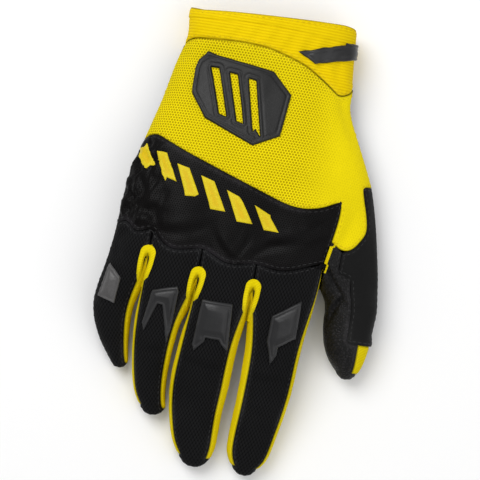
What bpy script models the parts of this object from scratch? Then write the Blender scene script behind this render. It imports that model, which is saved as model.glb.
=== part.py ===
"""Motocross glove for the right hand, lying palm down and lightly filled.

One skin is worked out from tables of sections: the hand from the cuff to the finger roots, then five digits.
Seams run along rows and columns of that skin. Each panel is its share of the skin with a wall of its own
thickness, pulled back from every seam, and guards, plate, tab and slashes are cut to outlines that lie on it.
The frame has +Z up through the back of the hand, +Y from the fingertips to the cuff and +X towards the thumb.
"""

import math
from dataclasses import dataclass

import bmesh
import bpy
from mathutils import Vector

MM = 0.001

# Hand, from the cuff's edge to the roots of the fingers
HAND_LENGTH = 130 * MM
HAND_WIDTH = 110 * MM
HAND_DEPTH = 38 * MM
THUMB_DROP = 7 * MM
KNUCKLE_RISE = 3 * MM

# Digits, each from its root to its tip
PINKY_LENGTH = 67 * MM
PINKY_WIDTH = 22 * MM
PINKY_DEPTH = 18.5 * MM
RING_LENGTH = 82 * MM
RING_WIDTH = 26 * MM
RING_DEPTH = 20 * MM
MIDDLE_LENGTH = 102 * MM
MIDDLE_WIDTH = 30 * MM
MIDDLE_DEPTH = 21 * MM
INDEX_LENGTH = 103.5 * MM
INDEX_WIDTH = 31 * MM
INDEX_DEPTH = 21 * MM
THUMB_LENGTH = 51.5 * MM
THUMB_WIDTH = 27 * MM
THUMB_DEPTH = 24 * MM

# Walls, seams and what lies on the panels
BAND_WALL = 2.4 * MM
MESH_WALL = 1.8 * MM
KNUCKLE_WALL = 2.0 * MM
FINGER_WALL = 1.4 * MM
SIDE_WALL = 1.2 * MM
PALM_WALL = 1.3 * MM
SEAM_GAP = 0.3 * MM
OVERLAY_GAP = 0.3 * MM
GUARD_THICKNESS = 1.8 * MM
PLATE_THICKNESS = 1.6 * MM
TAB_THICKNESS = 1.5 * MM
SLASH_THICKNESS = 0.6 * MM
TAB_LOWEST = 9 * MM

# Shape of every cross-section: 2 is an ellipse, more is boxier
ROUNDNESS = 2.3
BACK_REACH = math.radians(52)

# Least room left at the sharpest corner of a panel, so that its pull from the seams stays short
SHARPEST = 0.03

# Most that a wall is stretched where the skin turns a corner
MOST_STRETCH = 1.4
WEB_END_STRETCH = 0.8
WEB_END_DRAW = 0.12

# Direction by which the two walls at a seam choose the same diagonal
SKEW = Vector((0.79, 0.53, 0.31))

# Columns of the skin: back 0 to 20, thumb side to 24, palm to 44, little-finger side to 48
PER_FINGER = 4
BACK_LAST = 20
PALM_FIRST = 24
PALM_LAST = 44
COLUMNS = 48
FINGER_COUNT = 4

# Hand sections: along, left, right, low, high
# along is a share of HAND_LENGTH, left and right of HAND_WIDTH, low and high of HAND_DEPTH
HAND_SECTIONS = (
    (0.92, -0.423, 0.373, -0.03, 0.87),
    (0.83, -0.423, 0.382, -0.03, 0.88),
    (0.75, -0.418, 0.396, -0.03, 0.84),
    (0.68, -0.441, 0.409, -0.03, 0.81),
    (0.60, -0.459, 0.399, -0.03, 0.83),
    (0.49, -0.482, 0.459, -0.03, 0.88),
    (0.385, -0.514, 0.523, -0.03, 0.94),
    (0.27, -0.547, 0.586, 0.00, 0.98),
    (0.155, -0.585, 0.625, 0.05, 1.00),
    (0.04, -0.582, 0.653, 0.09, 1.02),
    (-0.075, -0.591, 0.682, 0.11, 1.01),
    (-0.185, -0.607, 0.698, 0.12, 0.97),
)

# Lines between the digits: along, little-ring, ring-middle, middle-index, index-thumb, edge angle in degrees
# along is a share of HAND_LENGTH, the four places of HAND_WIDTH
DIGIT_LINES = (
    (0.92, -0.245, -0.109, 0.073, 0.218, 33),
    (0.69, -0.273, -0.118, 0.091, 0.245, 32),
    (0.46, -0.327, -0.136, 0.109, 0.345, 29),
    (0.227, -0.382, -0.155, 0.114, 0.445, 25),
    (0.054, -0.405, -0.164, 0.100, 0.425, 23),
    (-0.092, -0.412, -0.165, 0.096, 0.402, 22),
    (-0.185, -0.412, -0.165, 0.096, 0.402, 22),
)

# Seams and guide lines over the back: across as a share of HAND_WIDTH, along as a share of HAND_LENGTH
CUFF_EDGE = ((-0.42, 0.872), (-0.23, 0.886), (-0.03, 0.897), (0.16, 0.906), (0.37, 0.915))
CUFF_SEAM = (
    (-0.43, 0.759), (-0.15, 0.774), (-0.02, 0.769), (0.07, 0.749),
    (0.16, 0.727), (0.256, 0.68), (0.334, 0.635), (0.40, 0.604),
)
DIAGONAL_SEAM = (
    (-0.52, 0.377), (-0.474, 0.36), (-0.324, 0.309), (-0.109, 0.248), (0.073, 0.199),
    (0.15, 0.177), (0.228, 0.158), (0.265, 0.158), (0.324, 0.17), (0.381, 0.188),
    (0.445, 0.227), (0.482, 0.254), (0.518, 0.285), (0.551, 0.318), (0.582, 0.354),
)
LOBE_LINE = (
    (-0.60, 0.10), (-0.364, 0.062), (0.0, 0.031), (0.273, 0.031), (0.427, 0.055),
    (0.464, 0.031), (0.50, 0.012), (0.536, 0.039), (0.575, 0.097), (0.636, 0.185),
)
FINGER_SEAM = (
    (-0.60, 0.015), (-0.545, 0.004), (-0.478, -0.046), (-0.414, -0.005), (-0.347, -0.076),
    (-0.291, -0.085), (-0.164, -0.054), (-0.036, -0.108), (0.10, -0.077), (0.19, -0.099),
    (0.255, -0.089), (0.311, -0.065), (0.40, -0.035), (0.545, -0.035), (0.69, -0.03),
)
ROOT_LINE = (
    (-0.60, -0.092), (-0.509, -0.115), (-0.412, -0.093), (-0.291, -0.142), (-0.165, -0.141),
    (-0.036, -0.169), (0.098, -0.154), (0.245, -0.131), (0.402, -0.058), (0.545, -0.073), (0.70, -0.077),
)

# Bands between guide lines: name, line where it starts, its place on the palm, rows down to the next line
BANDS = (
    ("cuff", CUFF_EDGE, 0.89, 3),
    ("mesh", CUFF_SEAM, 0.70, 5),
    ("knuckle", DIAGONAL_SEAM, 0.30, 2),
    ("lobe", LOBE_LINE, 0.06, 1),
    ("root", FINGER_SEAM, -0.06, 1),
)
ROOT_PALM = -0.17

# Webs between digits: along of the top, of the floor and of the palm's end, as shares of HAND_LENGTH
WEBS = (
    (-0.093, -0.255, -0.19),
    (-0.141, -0.275, -0.20),
    (-0.154, -0.300, -0.20),
    (-0.058, -0.115, -0.12),
)

# Folds pressed into the back: across, along, turn in degrees, length, width, depth
# across is a share of HAND_WIDTH, along and length of HAND_LENGTH, width and depth of HAND_DEPTH
FOLDS = (
    (-0.50, 0.075, -25, 0.09, 0.13, 0.045),
    (-0.44, 0.040, 30, 0.08, 0.12, 0.040),
    (0.25, -0.020, 12, 0.16, 0.13, 0.035),
    (0.47, 0.560, -60, 0.10, 0.20, 0.040),
    (-0.36, 0.650, 8, 0.12, 0.14, 0.030),
    (0.05, 0.640, -4, 0.14, 0.13, 0.025),
)


@dataclass(frozen=True)
class Digit:
    """A finger or thumb. Sections: along, shift, wide, middle, deep.

    along is a share of length, shift and wide of width, middle and deep of depth.
    """

    name: str
    root: float
    length: float
    width: float
    depth: float
    roll: float
    sections: tuple


DIGITS = (
    Digit("pinky", -0.092, PINKY_LENGTH, PINKY_WIDTH, PINKY_DEPTH, -10, (
        (0.12, -0.12, 0.94, 0.92, 1.03),
        (0.30, -0.22, 0.98, 0.89, 1.00),
        (0.50, -0.28, 0.98, 0.81, 1.00),
        (0.65, -0.22, 0.87, 0.65, 0.95),
        (0.80, -0.08, 0.66, 0.46, 0.88),
        (0.92, 0.09, 0.42, 0.38, 0.66),
    )),
    Digit("ring", -0.115, RING_LENGTH, RING_WIDTH, RING_DEPTH, -8, (
        (0.06, -0.01, 1.00, 1.05, 1.05),
        (0.24, -0.07, 0.99, 1.05, 1.03),
        (0.43, -0.13, 0.92, 0.95, 1.00),
        (0.61, -0.135, 0.83, 0.77, 0.95),
        (0.77, -0.10, 0.72, 0.55, 0.90),
        (0.89, -0.03, 0.65, 0.43, 0.85),
        (0.957, 0.067, 0.54, 0.38, 0.70),
    )),
    Digit("middle", -0.138, MIDDLE_LENGTH, MIDDLE_WIDTH, MIDDLE_DEPTH, -6, (
        (0.07, -0.025, 0.90, 1.05, 1.05),
        (0.22, -0.057, 0.99, 1.05, 1.02),
        (0.36, -0.10, 1.02, 0.98, 1.00),
        (0.51, -0.13, 1.04, 0.83, 0.98),
        (0.61, -0.135, 1.04, 0.69, 0.95),
        (0.725, -0.135, 0.95, 0.52, 0.90),
        (0.833, -0.087, 0.857, 0.43, 0.857),
        (0.90, -0.048, 0.773, 0.39, 0.786),
        (0.956, -0.01, 0.57, 0.36, 0.62),
    )),
    Digit("index", -0.123, INDEX_LENGTH, INDEX_WIDTH, INDEX_DEPTH, 7, (
        (0.087, -0.005, 1.02, 1.05, 1.05),
        (0.23, -0.025, 0.97, 1.05, 1.02),
        (0.38, -0.035, 0.925, 0.98, 1.00),
        (0.52, -0.035, 0.92, 0.83, 0.98),
        (0.667, -0.065, 0.88, 0.62, 0.93),
        (0.783, -0.11, 0.82, 0.48, 0.88),
        (0.889, -0.144, 0.765, 0.41, 0.82),
        (0.942, -0.145, 0.626, 0.38, 0.69),
        (0.971, -0.158, 0.45, 0.36, 0.55),
    )),
    Digit("thumb", -0.077, THUMB_LENGTH, THUMB_WIDTH, THUMB_DEPTH, 0, (
        (0.136, 0.14, 1.09, 0.58, 1.00),
        (0.31, 0.21, 1.02, 0.55, 0.98),
        (0.485, 0.205, 0.985, 0.52, 0.96),
        (0.64, 0.225, 0.925, 0.48, 0.94),
        (0.777, 0.26, 0.795, 0.45, 0.875),
        (0.874, 0.30, 0.63, 0.42, 0.75),
        (0.942, 0.325, 0.43, 0.40, 0.54),
    )),
)
BLEND_RINGS = 3
CAP_REACH = 0.36
GUSSET_FROM_ROW = 5

# Outlines of what lies on the back: across as a share of HAND_WIDTH, along as a share of HAND_LENGTH
TAB_OUTLINE = ((0.117, 0.774), (0.20, 0.738), (0.48, 0.806), (0.48, 0.862), (0.372, 0.847))
PLATE_OUTLINE = (
    (-0.345, 0.655), (-0.30, 0.715), (0.02, 0.68), (0.12, 0.60),
    (0.10, 0.43), (-0.02, 0.375), (-0.26, 0.45), (-0.345, 0.545),
)
PLATE_SLOTS = (
    ((-0.27, 0.655), (-0.235, 0.655), (-0.165, 0.475), (-0.20, 0.485)),
    ((-0.18, 0.645), (-0.145, 0.642), (-0.075, 0.445), (-0.11, 0.455)),
    ((-0.09, 0.635), (-0.055, 0.630), (0.005, 0.425), (-0.03, 0.435)),
)
SLASHES = (
    ((-0.545, 0.285), (-0.505, 0.315), (-0.455, 0.235), (-0.500, 0.215)),
    ((-0.455, 0.290), (-0.405, 0.290), (-0.345, 0.190), (-0.400, 0.180)),
    ((-0.350, 0.255), (-0.290, 0.245), (-0.220, 0.140), (-0.285, 0.135)),
    ((-0.230, 0.225), (-0.165, 0.210), (-0.090, 0.100), (-0.160, 0.100)),
    ((-0.100, 0.185), (-0.030, 0.165), (0.045, 0.070), (-0.030, 0.070)),
    ((0.040, 0.145), (0.110, 0.120), (0.170, 0.055), (0.100, 0.055)),
)

# Guards, in the digit's own measure: along as a share of its length, across as a share of its width
GUARDS = {
    "pinky": ((0.17, -0.36), (0.27, 0.02), (0.47, 0.04), (0.43, -0.37)),
    "ring": (
        (0.22, -0.25), (0.19, 0.02), (0.19, 0.26), (0.36, 0.30), (0.54, 0.30),
        (0.46, 0.18), (0.33, 0.05), (0.33, -0.10), (0.47, -0.22), (0.45, -0.30),
    ),
    "middle": (
        (0.15, -0.30), (0.15, 0.25), (0.41, 0.34), (0.36, 0.20), (0.34, 0.14),
        (0.34, -0.05), (0.41, -0.20), (0.37, -0.26),
    ),
    "index": ((0.19, -0.14), (0.09, 0.30), (0.28, 0.34), (0.33, 0.12), (0.43, -0.02), (0.30, -0.14)),
}

YELLOW = (0.84, 0.66, 0.01)
MESH_YELLOW = (0.76, 0.62, 0.03)
BLACK = (0.012, 0.012, 0.013)
KNIT_BLACK = (0.018, 0.018, 0.019)
RUBBER = (0.045, 0.045, 0.048)
PANELS = {
    "cuff_band": (BAND_WALL, YELLOW, 0.85),
    "back_mesh": (MESH_WALL, MESH_YELLOW, 0.80),
    "knuckle_panel": (KNUCKLE_WALL, BLACK, 0.65),
    "pinky_back": (FINGER_WALL, KNIT_BLACK, 0.85),
    "ring_back": (FINGER_WALL, KNIT_BLACK, 0.85),
    "middle_back": (FINGER_WALL, KNIT_BLACK, 0.85),
    "index_back": (FINGER_WALL, KNIT_BLACK, 0.85),
    "web_pinky_ring": (SIDE_WALL, YELLOW, 0.85),
    "web_ring_middle": (SIDE_WALL, YELLOW, 0.85),
    "web_middle_index": (SIDE_WALL, YELLOW, 0.85),
    "index_side_strip": (SIDE_WALL, YELLOW, 0.85),
    "thumb_outer": (FINGER_WALL, BLACK, 0.60),
    "thumb_inner": (FINGER_WALL, KNIT_BLACK, 0.80),
    "thumb_gusset": (SIDE_WALL, YELLOW, 0.85),
    "palm": (PALM_WALL, BLACK, 0.55),
}


def smooth_step(value, start, end):
    """0 before start, 1 after end, and a smooth rise between them."""
    share = min(max((value - start) / (end - start), 0.0), 1.0)
    return share * share * (3 - 2 * share)


def read_table(rows, place):
    """The table's columns at a place between its rows, joined by smooth curves."""
    if rows[0][0] > rows[-1][0]:
        rows = rows[::-1]
    place = min(max(place, rows[0][0]), rows[-1][0])
    last = len(rows) - 1
    i = 0
    while i < last - 1 and place > rows[i + 1][0]:
        i += 1
    before = rows[max(i - 1, 0)]
    start = rows[i]
    end = rows[i + 1]
    after = rows[min(i + 2, last)]
    span = end[0] - start[0]
    share = (place - start[0]) / span
    values = []
    for column in range(1, len(start)):
        slope_in = (end[column] - before[column]) / (end[0] - before[0]) * span
        slope_out = (after[column] - start[column]) / (after[0] - start[0]) * span
        square = share * share
        cube = square * share
        values.append(
            (2 * cube - 3 * square + 1) * start[column]
            + (cube - 2 * square + share) * slope_in
            + (3 * square - 2 * cube) * end[column]
            + (cube - square) * slope_out
        )
    return values


def read_line(line, across):
    """Height of a guide line over the back at a place across it, both in metres."""
    place = across / HAND_WIDTH
    if place <= line[0][0]:
        return line[0][1] * HAND_LENGTH
    for (x0, y0), (x1, y1) in zip(line, line[1:]):
        if place <= x1:
            return (y0 + (y1 - y0) * (place - x0) / (x1 - x0)) * HAND_LENGTH
    return line[-1][1] * HAND_LENGTH


def rounded(value):
    """A sine or cosine bent to the sections' roundness."""
    return math.copysign(abs(value) ** (2 / ROUNDNESS), value)


def fold_depth(x, y):
    """How far the folds press the back in at a place."""
    depth = 0.0
    for across, along, turn, length, width, deep in FOLDS:
        dx = x - across * HAND_WIDTH
        dy = y - along * HAND_LENGTH
        angle = math.radians(turn)
        run = (dx * math.cos(angle) + dy * math.sin(angle)) / (length * HAND_LENGTH / 2)
        side = (dy * math.cos(angle) - dx * math.sin(angle)) / (width * HAND_DEPTH / 2)
        depth += deep * HAND_DEPTH * math.exp(-run * run - side * side)
    return depth


def column_angle(column, y, left, right):
    """Angle of a column round the hand's section: 0 at the little finger's edge, 90 degrees on top."""
    lines = read_table(DIGIT_LINES, y / HAND_LENGTH)
    edge = math.radians(lines[4])
    centre = (left + right) / 2
    half = (right - left) / 2
    stops = [edge]
    for line in lines[:4]:
        share = (line * HAND_WIDTH - centre) / half
        bent = math.copysign(abs(share) ** (ROUNDNESS / 2), share)
        stops.append(math.acos(-bent))
    stops.append(math.pi - edge)
    if column <= BACK_LAST:
        group = min(column // PER_FINGER, FINGER_COUNT)
        share = (column - group * PER_FINGER) / PER_FINGER
        return stops[group] + (stops[group + 1] - stops[group]) * share
    if column < PALM_FIRST:
        share = (column - BACK_LAST) / (PALM_FIRST - BACK_LAST)
        return math.pi - edge + 2 * edge * share
    if column <= PALM_LAST:
        return 2 * math.pi - column_angle(PALM_LAST - column, y, left, right)
    share = (column - PALM_LAST) / (COLUMNS - PALM_LAST)
    return 2 * math.pi - edge + 2 * edge * share


def hand_point(column, y):
    """Point of the hand's skin on a column, at a place along the hand."""
    left, right, low, high = read_table(HAND_SECTIONS, y / HAND_LENGTH)
    left *= HAND_WIDTH
    right *= HAND_WIDTH
    angle = column_angle(column, y, left, right)
    across = rounded(math.cos(angle))
    up = rounded(math.sin(angle))
    x = (left + right) / 2 - (right - left) / 2 * across
    z = ((low + high) / 2 + (high - low) / 2 * up) * HAND_DEPTH
    nearness = 1 - smooth_step(y, 0.15 * HAND_LENGTH, 0.5 * HAND_LENGTH)
    z -= THUMB_DROP * nearness * smooth_step(x, 0.36 * HAND_WIDTH, 0.54 * HAND_WIDTH)
    if up > 0:
        near_roots = 1 - smooth_step(y, 0.0, 0.22 * HAND_LENGTH)
        share = (column % PER_FINGER) / PER_FINGER
        z += KNUCKLE_RISE * near_roots * (math.sin(math.pi * share) - 0.6) * up
        z -= fold_depth(x, y) * up
    return Vector((x, y, max(z, 0.0)))


def row_height(line, palm_share, column):
    """Place along the hand where a guide line crosses a column."""
    palm = palm_share * HAND_LENGTH
    if PALM_FIRST <= column <= PALM_LAST:
        return palm
    on_back = column if column <= BACK_LAST else BACK_LAST if column < PALM_FIRST else 0
    y = palm
    for _ in range(8):
        y = read_line(line, hand_point(on_back, y).x)
    if column <= BACK_LAST:
        return y
    if column < PALM_FIRST:
        share = (column - BACK_LAST) / (PALM_FIRST - BACK_LAST)
    else:
        share = (COLUMNS - column) / (COLUMNS - PALM_LAST)
    return y + (palm - y) * smooth_step(share, 0.0, 1.0)


class Skin:
    """Points, faces and the panel of each face."""

    def __init__(self):
        self.points = []
        self.faces = []
        self.panels = []
        self.web_ends = []

    def add_point(self, point):
        self.points.append(Vector(point))
        return len(self.points) - 1

    def add_face(self, corners, panel):
        """Adds a face whose corners are given clockwise, as seen from outside."""
        self.faces.append(tuple(reversed(corners)))
        self.panels.append(panel)


def hand_panel(band, column):
    """Panel of a face of the hand, from its band and its column."""
    if band == "cuff":
        return "cuff_band"
    if PALM_FIRST - 2 <= column < COLUMNS - 2:
        return "palm"
    if band == "mesh":
        return "back_mesh"
    thumb_side = 4 * PER_FINGER <= column < PALM_FIRST
    if band == "knuckle" and thumb_side:
        return "back_mesh" if column < BACK_LAST else "thumb_outer"
    if thumb_side:
        return "thumb_inner" if column == 4 * PER_FINGER else "thumb_outer"
    if band == "root":
        finger = column // PER_FINGER if column < BACK_LAST else 0
        return DIGITS[finger].name + "_back"
    return "knuckle_panel"


def build_hand(skin):
    """Rows of points from the cuff to the roots. Gives the last row."""
    rows = []
    for number, (_, line, palm, count) in enumerate(BANDS):
        following = BANDS[number + 1][1:3] if number + 1 < len(BANDS) else (ROOT_LINE, ROOT_PALM)
        starts = [row_height(line, palm, column) for column in range(COLUMNS)]
        ends = [row_height(*following, column) for column in range(COLUMNS)]
        for step in range(count):
            share = step / count
            row = []
            for column in range(COLUMNS):
                y = starts[column] + (ends[column] - starts[column]) * share
                row.append(skin.add_point(hand_point(column, y)))
            rows.append((BANDS[number][0], row))
    last = [skin.add_point(hand_point(column, y)) for column, y in enumerate(ends)]
    rows.append(("end", last))
    for (band, upper), (_, lower) in zip(rows, rows[1:]):
        for column in range(COLUMNS):
            following = (column + 1) % COLUMNS
            corners = (upper[column], upper[following], lower[following], lower[column])
            skin.add_face(corners, hand_panel(band, column))
    return last


def build_webs(skin, last):
    """Chains of points from back to palm between neighbouring digits."""
    chains = []
    for number, (top, floor, palm_end) in enumerate(WEBS):
        back = last[PER_FINGER * (number + 1)]
        palm = last[PALM_LAST - PER_FINGER * (number + 1)]
        skin.points[back].y = top * HAND_LENGTH
        skin.points[palm].y = palm_end * HAND_LENGTH
        high = skin.points[back]
        low = skin.points[palm]
        chain = []
        for share, reach in ((0.28, 0.72), (0.5, 1.0), (0.72, 0.85)):
            start = high.lerp(low, share)
            y = start.y + (floor * HAND_LENGTH - start.y) * reach
            chain.append(skin.add_point((start.x, y, start.z)))
        chains.append(chain)
        skin.web_ends += [(back, chain[0]), (palm, chain[-1])]
    return chains


def ring_angle(index, roll):
    """Angle of a point round a digit's section, from +X over the top."""
    group, step = divmod(index, PER_FINGER)
    starts = (
        math.pi / 2 + BACK_REACH,
        math.pi / 2 - BACK_REACH,
        BACK_REACH - math.pi / 2,
        -math.pi / 2 - BACK_REACH,
        BACK_REACH - 3 * math.pi / 2,
    )
    angle = starts[group] + (starts[group + 1] - starts[group]) * step / PER_FINGER
    return angle - math.radians(roll)


def digit_section(digit, centre_x, y):
    """Middle, width and depth of a digit's section."""
    along = (digit.root * HAND_LENGTH - y) / digit.length
    shift, wide, middle, deep = read_table(digit.sections, along)
    centre = Vector((centre_x + shift * digit.width, y, middle * digit.depth))
    return centre, wide * digit.width, deep * digit.depth


def digit_point(digit, centre_x, index, y):
    """Point of a digit's skin."""
    centre, wide, deep = digit_section(digit, centre_x, y)
    angle = ring_angle(index, digit.roll)
    x = centre.x + wide / 2 * rounded(math.cos(angle))
    z = centre.z + deep / 2 * rounded(math.sin(angle))
    return Vector((x, y, max(z, 0.0)))


def side_panel(number, right, face, row):
    """Panel of a face on a digit's side."""
    upper = face < 2 if right else face >= 2
    name = DIGITS[number].name
    if name == "thumb":
        if not right:
            return "thumb_inner"
        if row >= GUSSET_FROM_ROW:
            return "thumb_gusset" if face < 3 else "palm"
        return "thumb_outer" if upper else "palm"
    if name == "pinky" and not right:
        return "pinky_back" if upper else "palm"
    if name == "index" and right:
        return "index_side_strip"
    first = number if right else number - 1
    return "web_{}_{}".format(DIGITS[first].name, DIGITS[first + 1].name)


def back_panel(number, face, row):
    """Panel of a face on a digit's back."""
    name = DIGITS[number].name
    if name != "thumb":
        return name + "_back"
    if face < PER_FINGER / 2:
        return "thumb_inner"
    if row < GUSSET_FROM_ROW:
        return "thumb_outer"
    return "thumb_inner" if face < PER_FINGER - 1 else "thumb_gusset"


def build_digit(skin, number, last, chains):
    """Rings of one digit from its root to its closed tip."""
    digit = DIGITS[number]
    first = PER_FINGER * number
    back = last[first:first + PER_FINGER + 1]
    palm = [last[PALM_LAST - column] for column in range(first + PER_FINGER, first - 1, -1)]
    right = chains[number] if number < len(chains) else last[BACK_LAST + 1:PALM_FIRST]
    left = list(reversed(chains[number - 1])) if number else last[PALM_LAST + 1:COLUMNS]
    ring = back + right + palm + left
    root_points = [skin.points[point].copy() for point in ring]
    centre_x = (root_points[0].x + root_points[PER_FINGER].x) / 2
    root_y = digit.root * HAND_LENGTH
    stations = [root_y - row[0] * digit.length for row in digit.sections]
    floor = min(point.y for point in root_points)
    planar = [y for y in stations if y < floor - 0.05 * digit.length]
    rings = [ring]
    for step in range(1, BLEND_RINGS):
        share = step / BLEND_RINGS
        fresh = []
        for index, root in enumerate(root_points):
            y = root.y + (planar[0] - root.y) * share
            target = digit_point(digit, centre_x, index, y)
            offset = root - digit_point(digit, centre_x, index, root.y)
            fresh.append(skin.add_point(target + offset * (1 - smooth_step(share, 0.0, 1.0))))
        rings.append(fresh)
    for y in planar:
        rings.append([skin.add_point(digit_point(digit, centre_x, i, y)) for i in range(4 * PER_FINGER)])
    for row, (near, far) in enumerate(zip(rings, rings[1:])):
        for face in range(4 * PER_FINGER):
            following = (face + 1) % (4 * PER_FINGER)
            group, place = divmod(face, PER_FINGER)
            if group == 0:
                panel = back_panel(number, place, row)
            elif group == 2:
                panel = "palm"
            else:
                panel = side_panel(number, group == 1, place, row)
            skin.add_face((near[face], near[following], far[following], far[face]), panel)
    close_tip(skin, number, rings[-1], planar[-1], centre_x, len(rings))


def close_tip(skin, number, ring, y, centre_x, row):
    """Grid of faces over a digit's end, its upper half to the back and its lower half to the palm."""
    digit = DIGITS[number]
    _, wide, _ = digit_section(digit, centre_x, y)
    corners = [skin.points[ring[PER_FINGER * group]] for group in range(4)]
    grid = {}
    for step in range(PER_FINGER + 1):
        grid[step, 0] = ring[step]
        grid[PER_FINGER, step] = ring[PER_FINGER + step]
        grid[PER_FINGER - step, PER_FINGER] = ring[2 * PER_FINGER + step]
        grid[0, PER_FINGER - step] = ring[(3 * PER_FINGER + step) % (4 * PER_FINGER)]
    for i in range(1, PER_FINGER):
        for j in range(1, PER_FINGER):
            a = i / PER_FINGER
            b = j / PER_FINGER
            rows = skin.points[grid[0, j]].lerp(skin.points[grid[PER_FINGER, j]], a)
            columns = skin.points[grid[i, 0]].lerp(skin.points[grid[i, PER_FINGER]], b)
            plain = corners[0].lerp(corners[1], a).lerp(corners[3].lerp(corners[2], a), b)
            point = rows + columns - plain
            point.y -= CAP_REACH * wide * math.sqrt(math.sin(math.pi * a) * math.sin(math.pi * b))
            point.z = max(point.z, 0.0)
            grid[i, j] = skin.add_point(point)
    for i in range(PER_FINGER):
        for j in range(PER_FINGER):
            panel = back_panel(number, 0, row) if j < PER_FINGER / 2 else "palm"
            corners = (grid[i, j], grid[i + 1, j], grid[i + 1, j + 1], grid[i, j + 1])
            skin.add_face(corners, panel)


def build_skin():
    """The whole outer surface of the glove."""
    skin = Skin()
    last = build_hand(skin)
    chains = build_webs(skin, last)
    for number in range(len(DIGITS)):
        build_digit(skin, number, last, chains)
    return skin


def outward(skin):
    """Direction at each point that keeps a wall's thickness when the skin is offset along it."""
    mesh = bmesh.new()
    points = [mesh.verts.new(point) for point in skin.points]
    for face in skin.faces:
        mesh.faces.new([points[corner] for corner in face])
    mesh.normal_update()
    bmesh.ops.triangulate(mesh, faces=mesh.faces[:], quad_method="SHORT_EDGE")
    mesh.normal_update()
    directions = [point.normal * min(point.calc_shell_factor(), MOST_STRETCH) for point in mesh.verts]
    for end, neighbour in skin.web_ends:
        turned = directions[end].normalized() + directions[neighbour].normalized()
        directions[end] = turned.normalized() * WEB_END_STRETCH
    mesh.free()
    return directions


def patch(skin, directions, chosen):
    """A bmesh of the chosen faces, in triangles, with each point's outward direction in a layer."""
    mesh = bmesh.new()
    layer = mesh.verts.layers.float_vector.new("outward")
    used = {}
    for face, panel in zip(skin.faces, skin.panels):
        if not chosen(face, panel):
            continue
        for corner in face:
            if corner not in used:
                used[corner] = mesh.verts.new(skin.points[corner])
                used[corner][layer] = directions[corner]
        mesh.faces.new([used[corner] for corner in face])
    bmesh.ops.triangulate(mesh, faces=mesh.faces[:], quad_method="SHORT_EDGE")
    return mesh, layer, used


def shorten_webs(skin, used):
    """Draws the ends of a web's chains off the palm and the finger backs."""
    for end, neighbour in skin.web_ends:
        if end in used and neighbour in used:
            used[end].co = skin.points[end].lerp(skin.points[neighbour], WEB_END_DRAW)


def pull_in(mesh, layer, distance):
    """Moves the border of a patch away from its seams, square to each seam's wall."""
    steps = {}
    for edge in mesh.edges:
        if len(edge.link_faces) != 1:
            continue
        loop = edge.link_loops[0]
        start = loop.vert
        end = loop.link_loop_next.vert
        step = (start[layer] + end[layer]).cross(end.co - start.co).normalized()
        for point in (start, end):
            steps.setdefault(point, []).append(step)
    for point, (first, second) in steps.items():
        point.co += (first + second) * distance / max(1 + first.dot(second), SHARPEST)
        point.co.z = max(point.co.z, 0.0)


def thicken(mesh, layer, inner, outer):
    """Points and faces of the closed solid between two offsets of a patch."""
    bmesh.ops.triangulate(mesh, faces=mesh.faces[:])
    mesh.verts.index_update()
    count = len(mesh.verts)
    points = [point.co + point[layer] * outer for point in mesh.verts]
    points += [point.co + point[layer] * inner for point in mesh.verts]
    faces = []
    for face in mesh.faces:
        corners = [point.index for point in face.verts]
        faces.append(corners)
        faces.append([corner + count for corner in reversed(corners)])
    for edge in mesh.edges:
        if len(edge.link_faces) != 1:
            continue
        loop = edge.link_loops[0]
        start = loop.vert
        end = loop.link_loop_next.vert
        corners = [end.index, start.index, start.index + count, end.index + count]
        if start.co.dot(SKEW) < end.co.dot(SKEW):
            corners = corners[1:] + corners[:1]
        faces.append(corners[:3])
        faces.append([corners[0], corners[2], corners[3]])
    mesh.free()
    return points, faces


def inside(outline, x, y):
    """Whether a place lies inside an outline."""
    found = False
    for (x0, y0), (x1, y1) in zip(outline, outline[1:] + outline[:1]):
        if (y0 > y) != (y1 > y) and x < x0 + (x1 - x0) * (y - y0) / (y1 - y0):
            found = not found
    return found


def cut_along(mesh, outline):
    """Splits the faces under each side of an outline along that side."""
    for (x0, y0), (x1, y1) in zip(outline, outline[1:] + outline[:1]):
        low_x, high_x = min(x0, x1), max(x0, x1)
        low_y, high_y = min(y0, y1), max(y0, y1)
        touched = []
        for face in mesh.faces:
            xs = [point.co.x for point in face.verts]
            ys = [point.co.y for point in face.verts]
            if max(xs) > low_x and min(xs) < high_x and max(ys) > low_y and min(ys) < high_y:
                touched.append(face)
        edges = {edge for face in touched for edge in face.edges}
        points = {point for face in touched for point in face.verts}
        bmesh.ops.bisect_plane(
            mesh,
            geom=list(points) + list(edges) + touched,
            dist=0.01 * MM,
            plane_co=(x0, y0, 0),
            plane_no=(y1 - y0, x0 - x1, 0),
        )
        bmesh.ops.triangulate(mesh, faces=[face for face in mesh.faces if len(face.verts) > 3])


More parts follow.
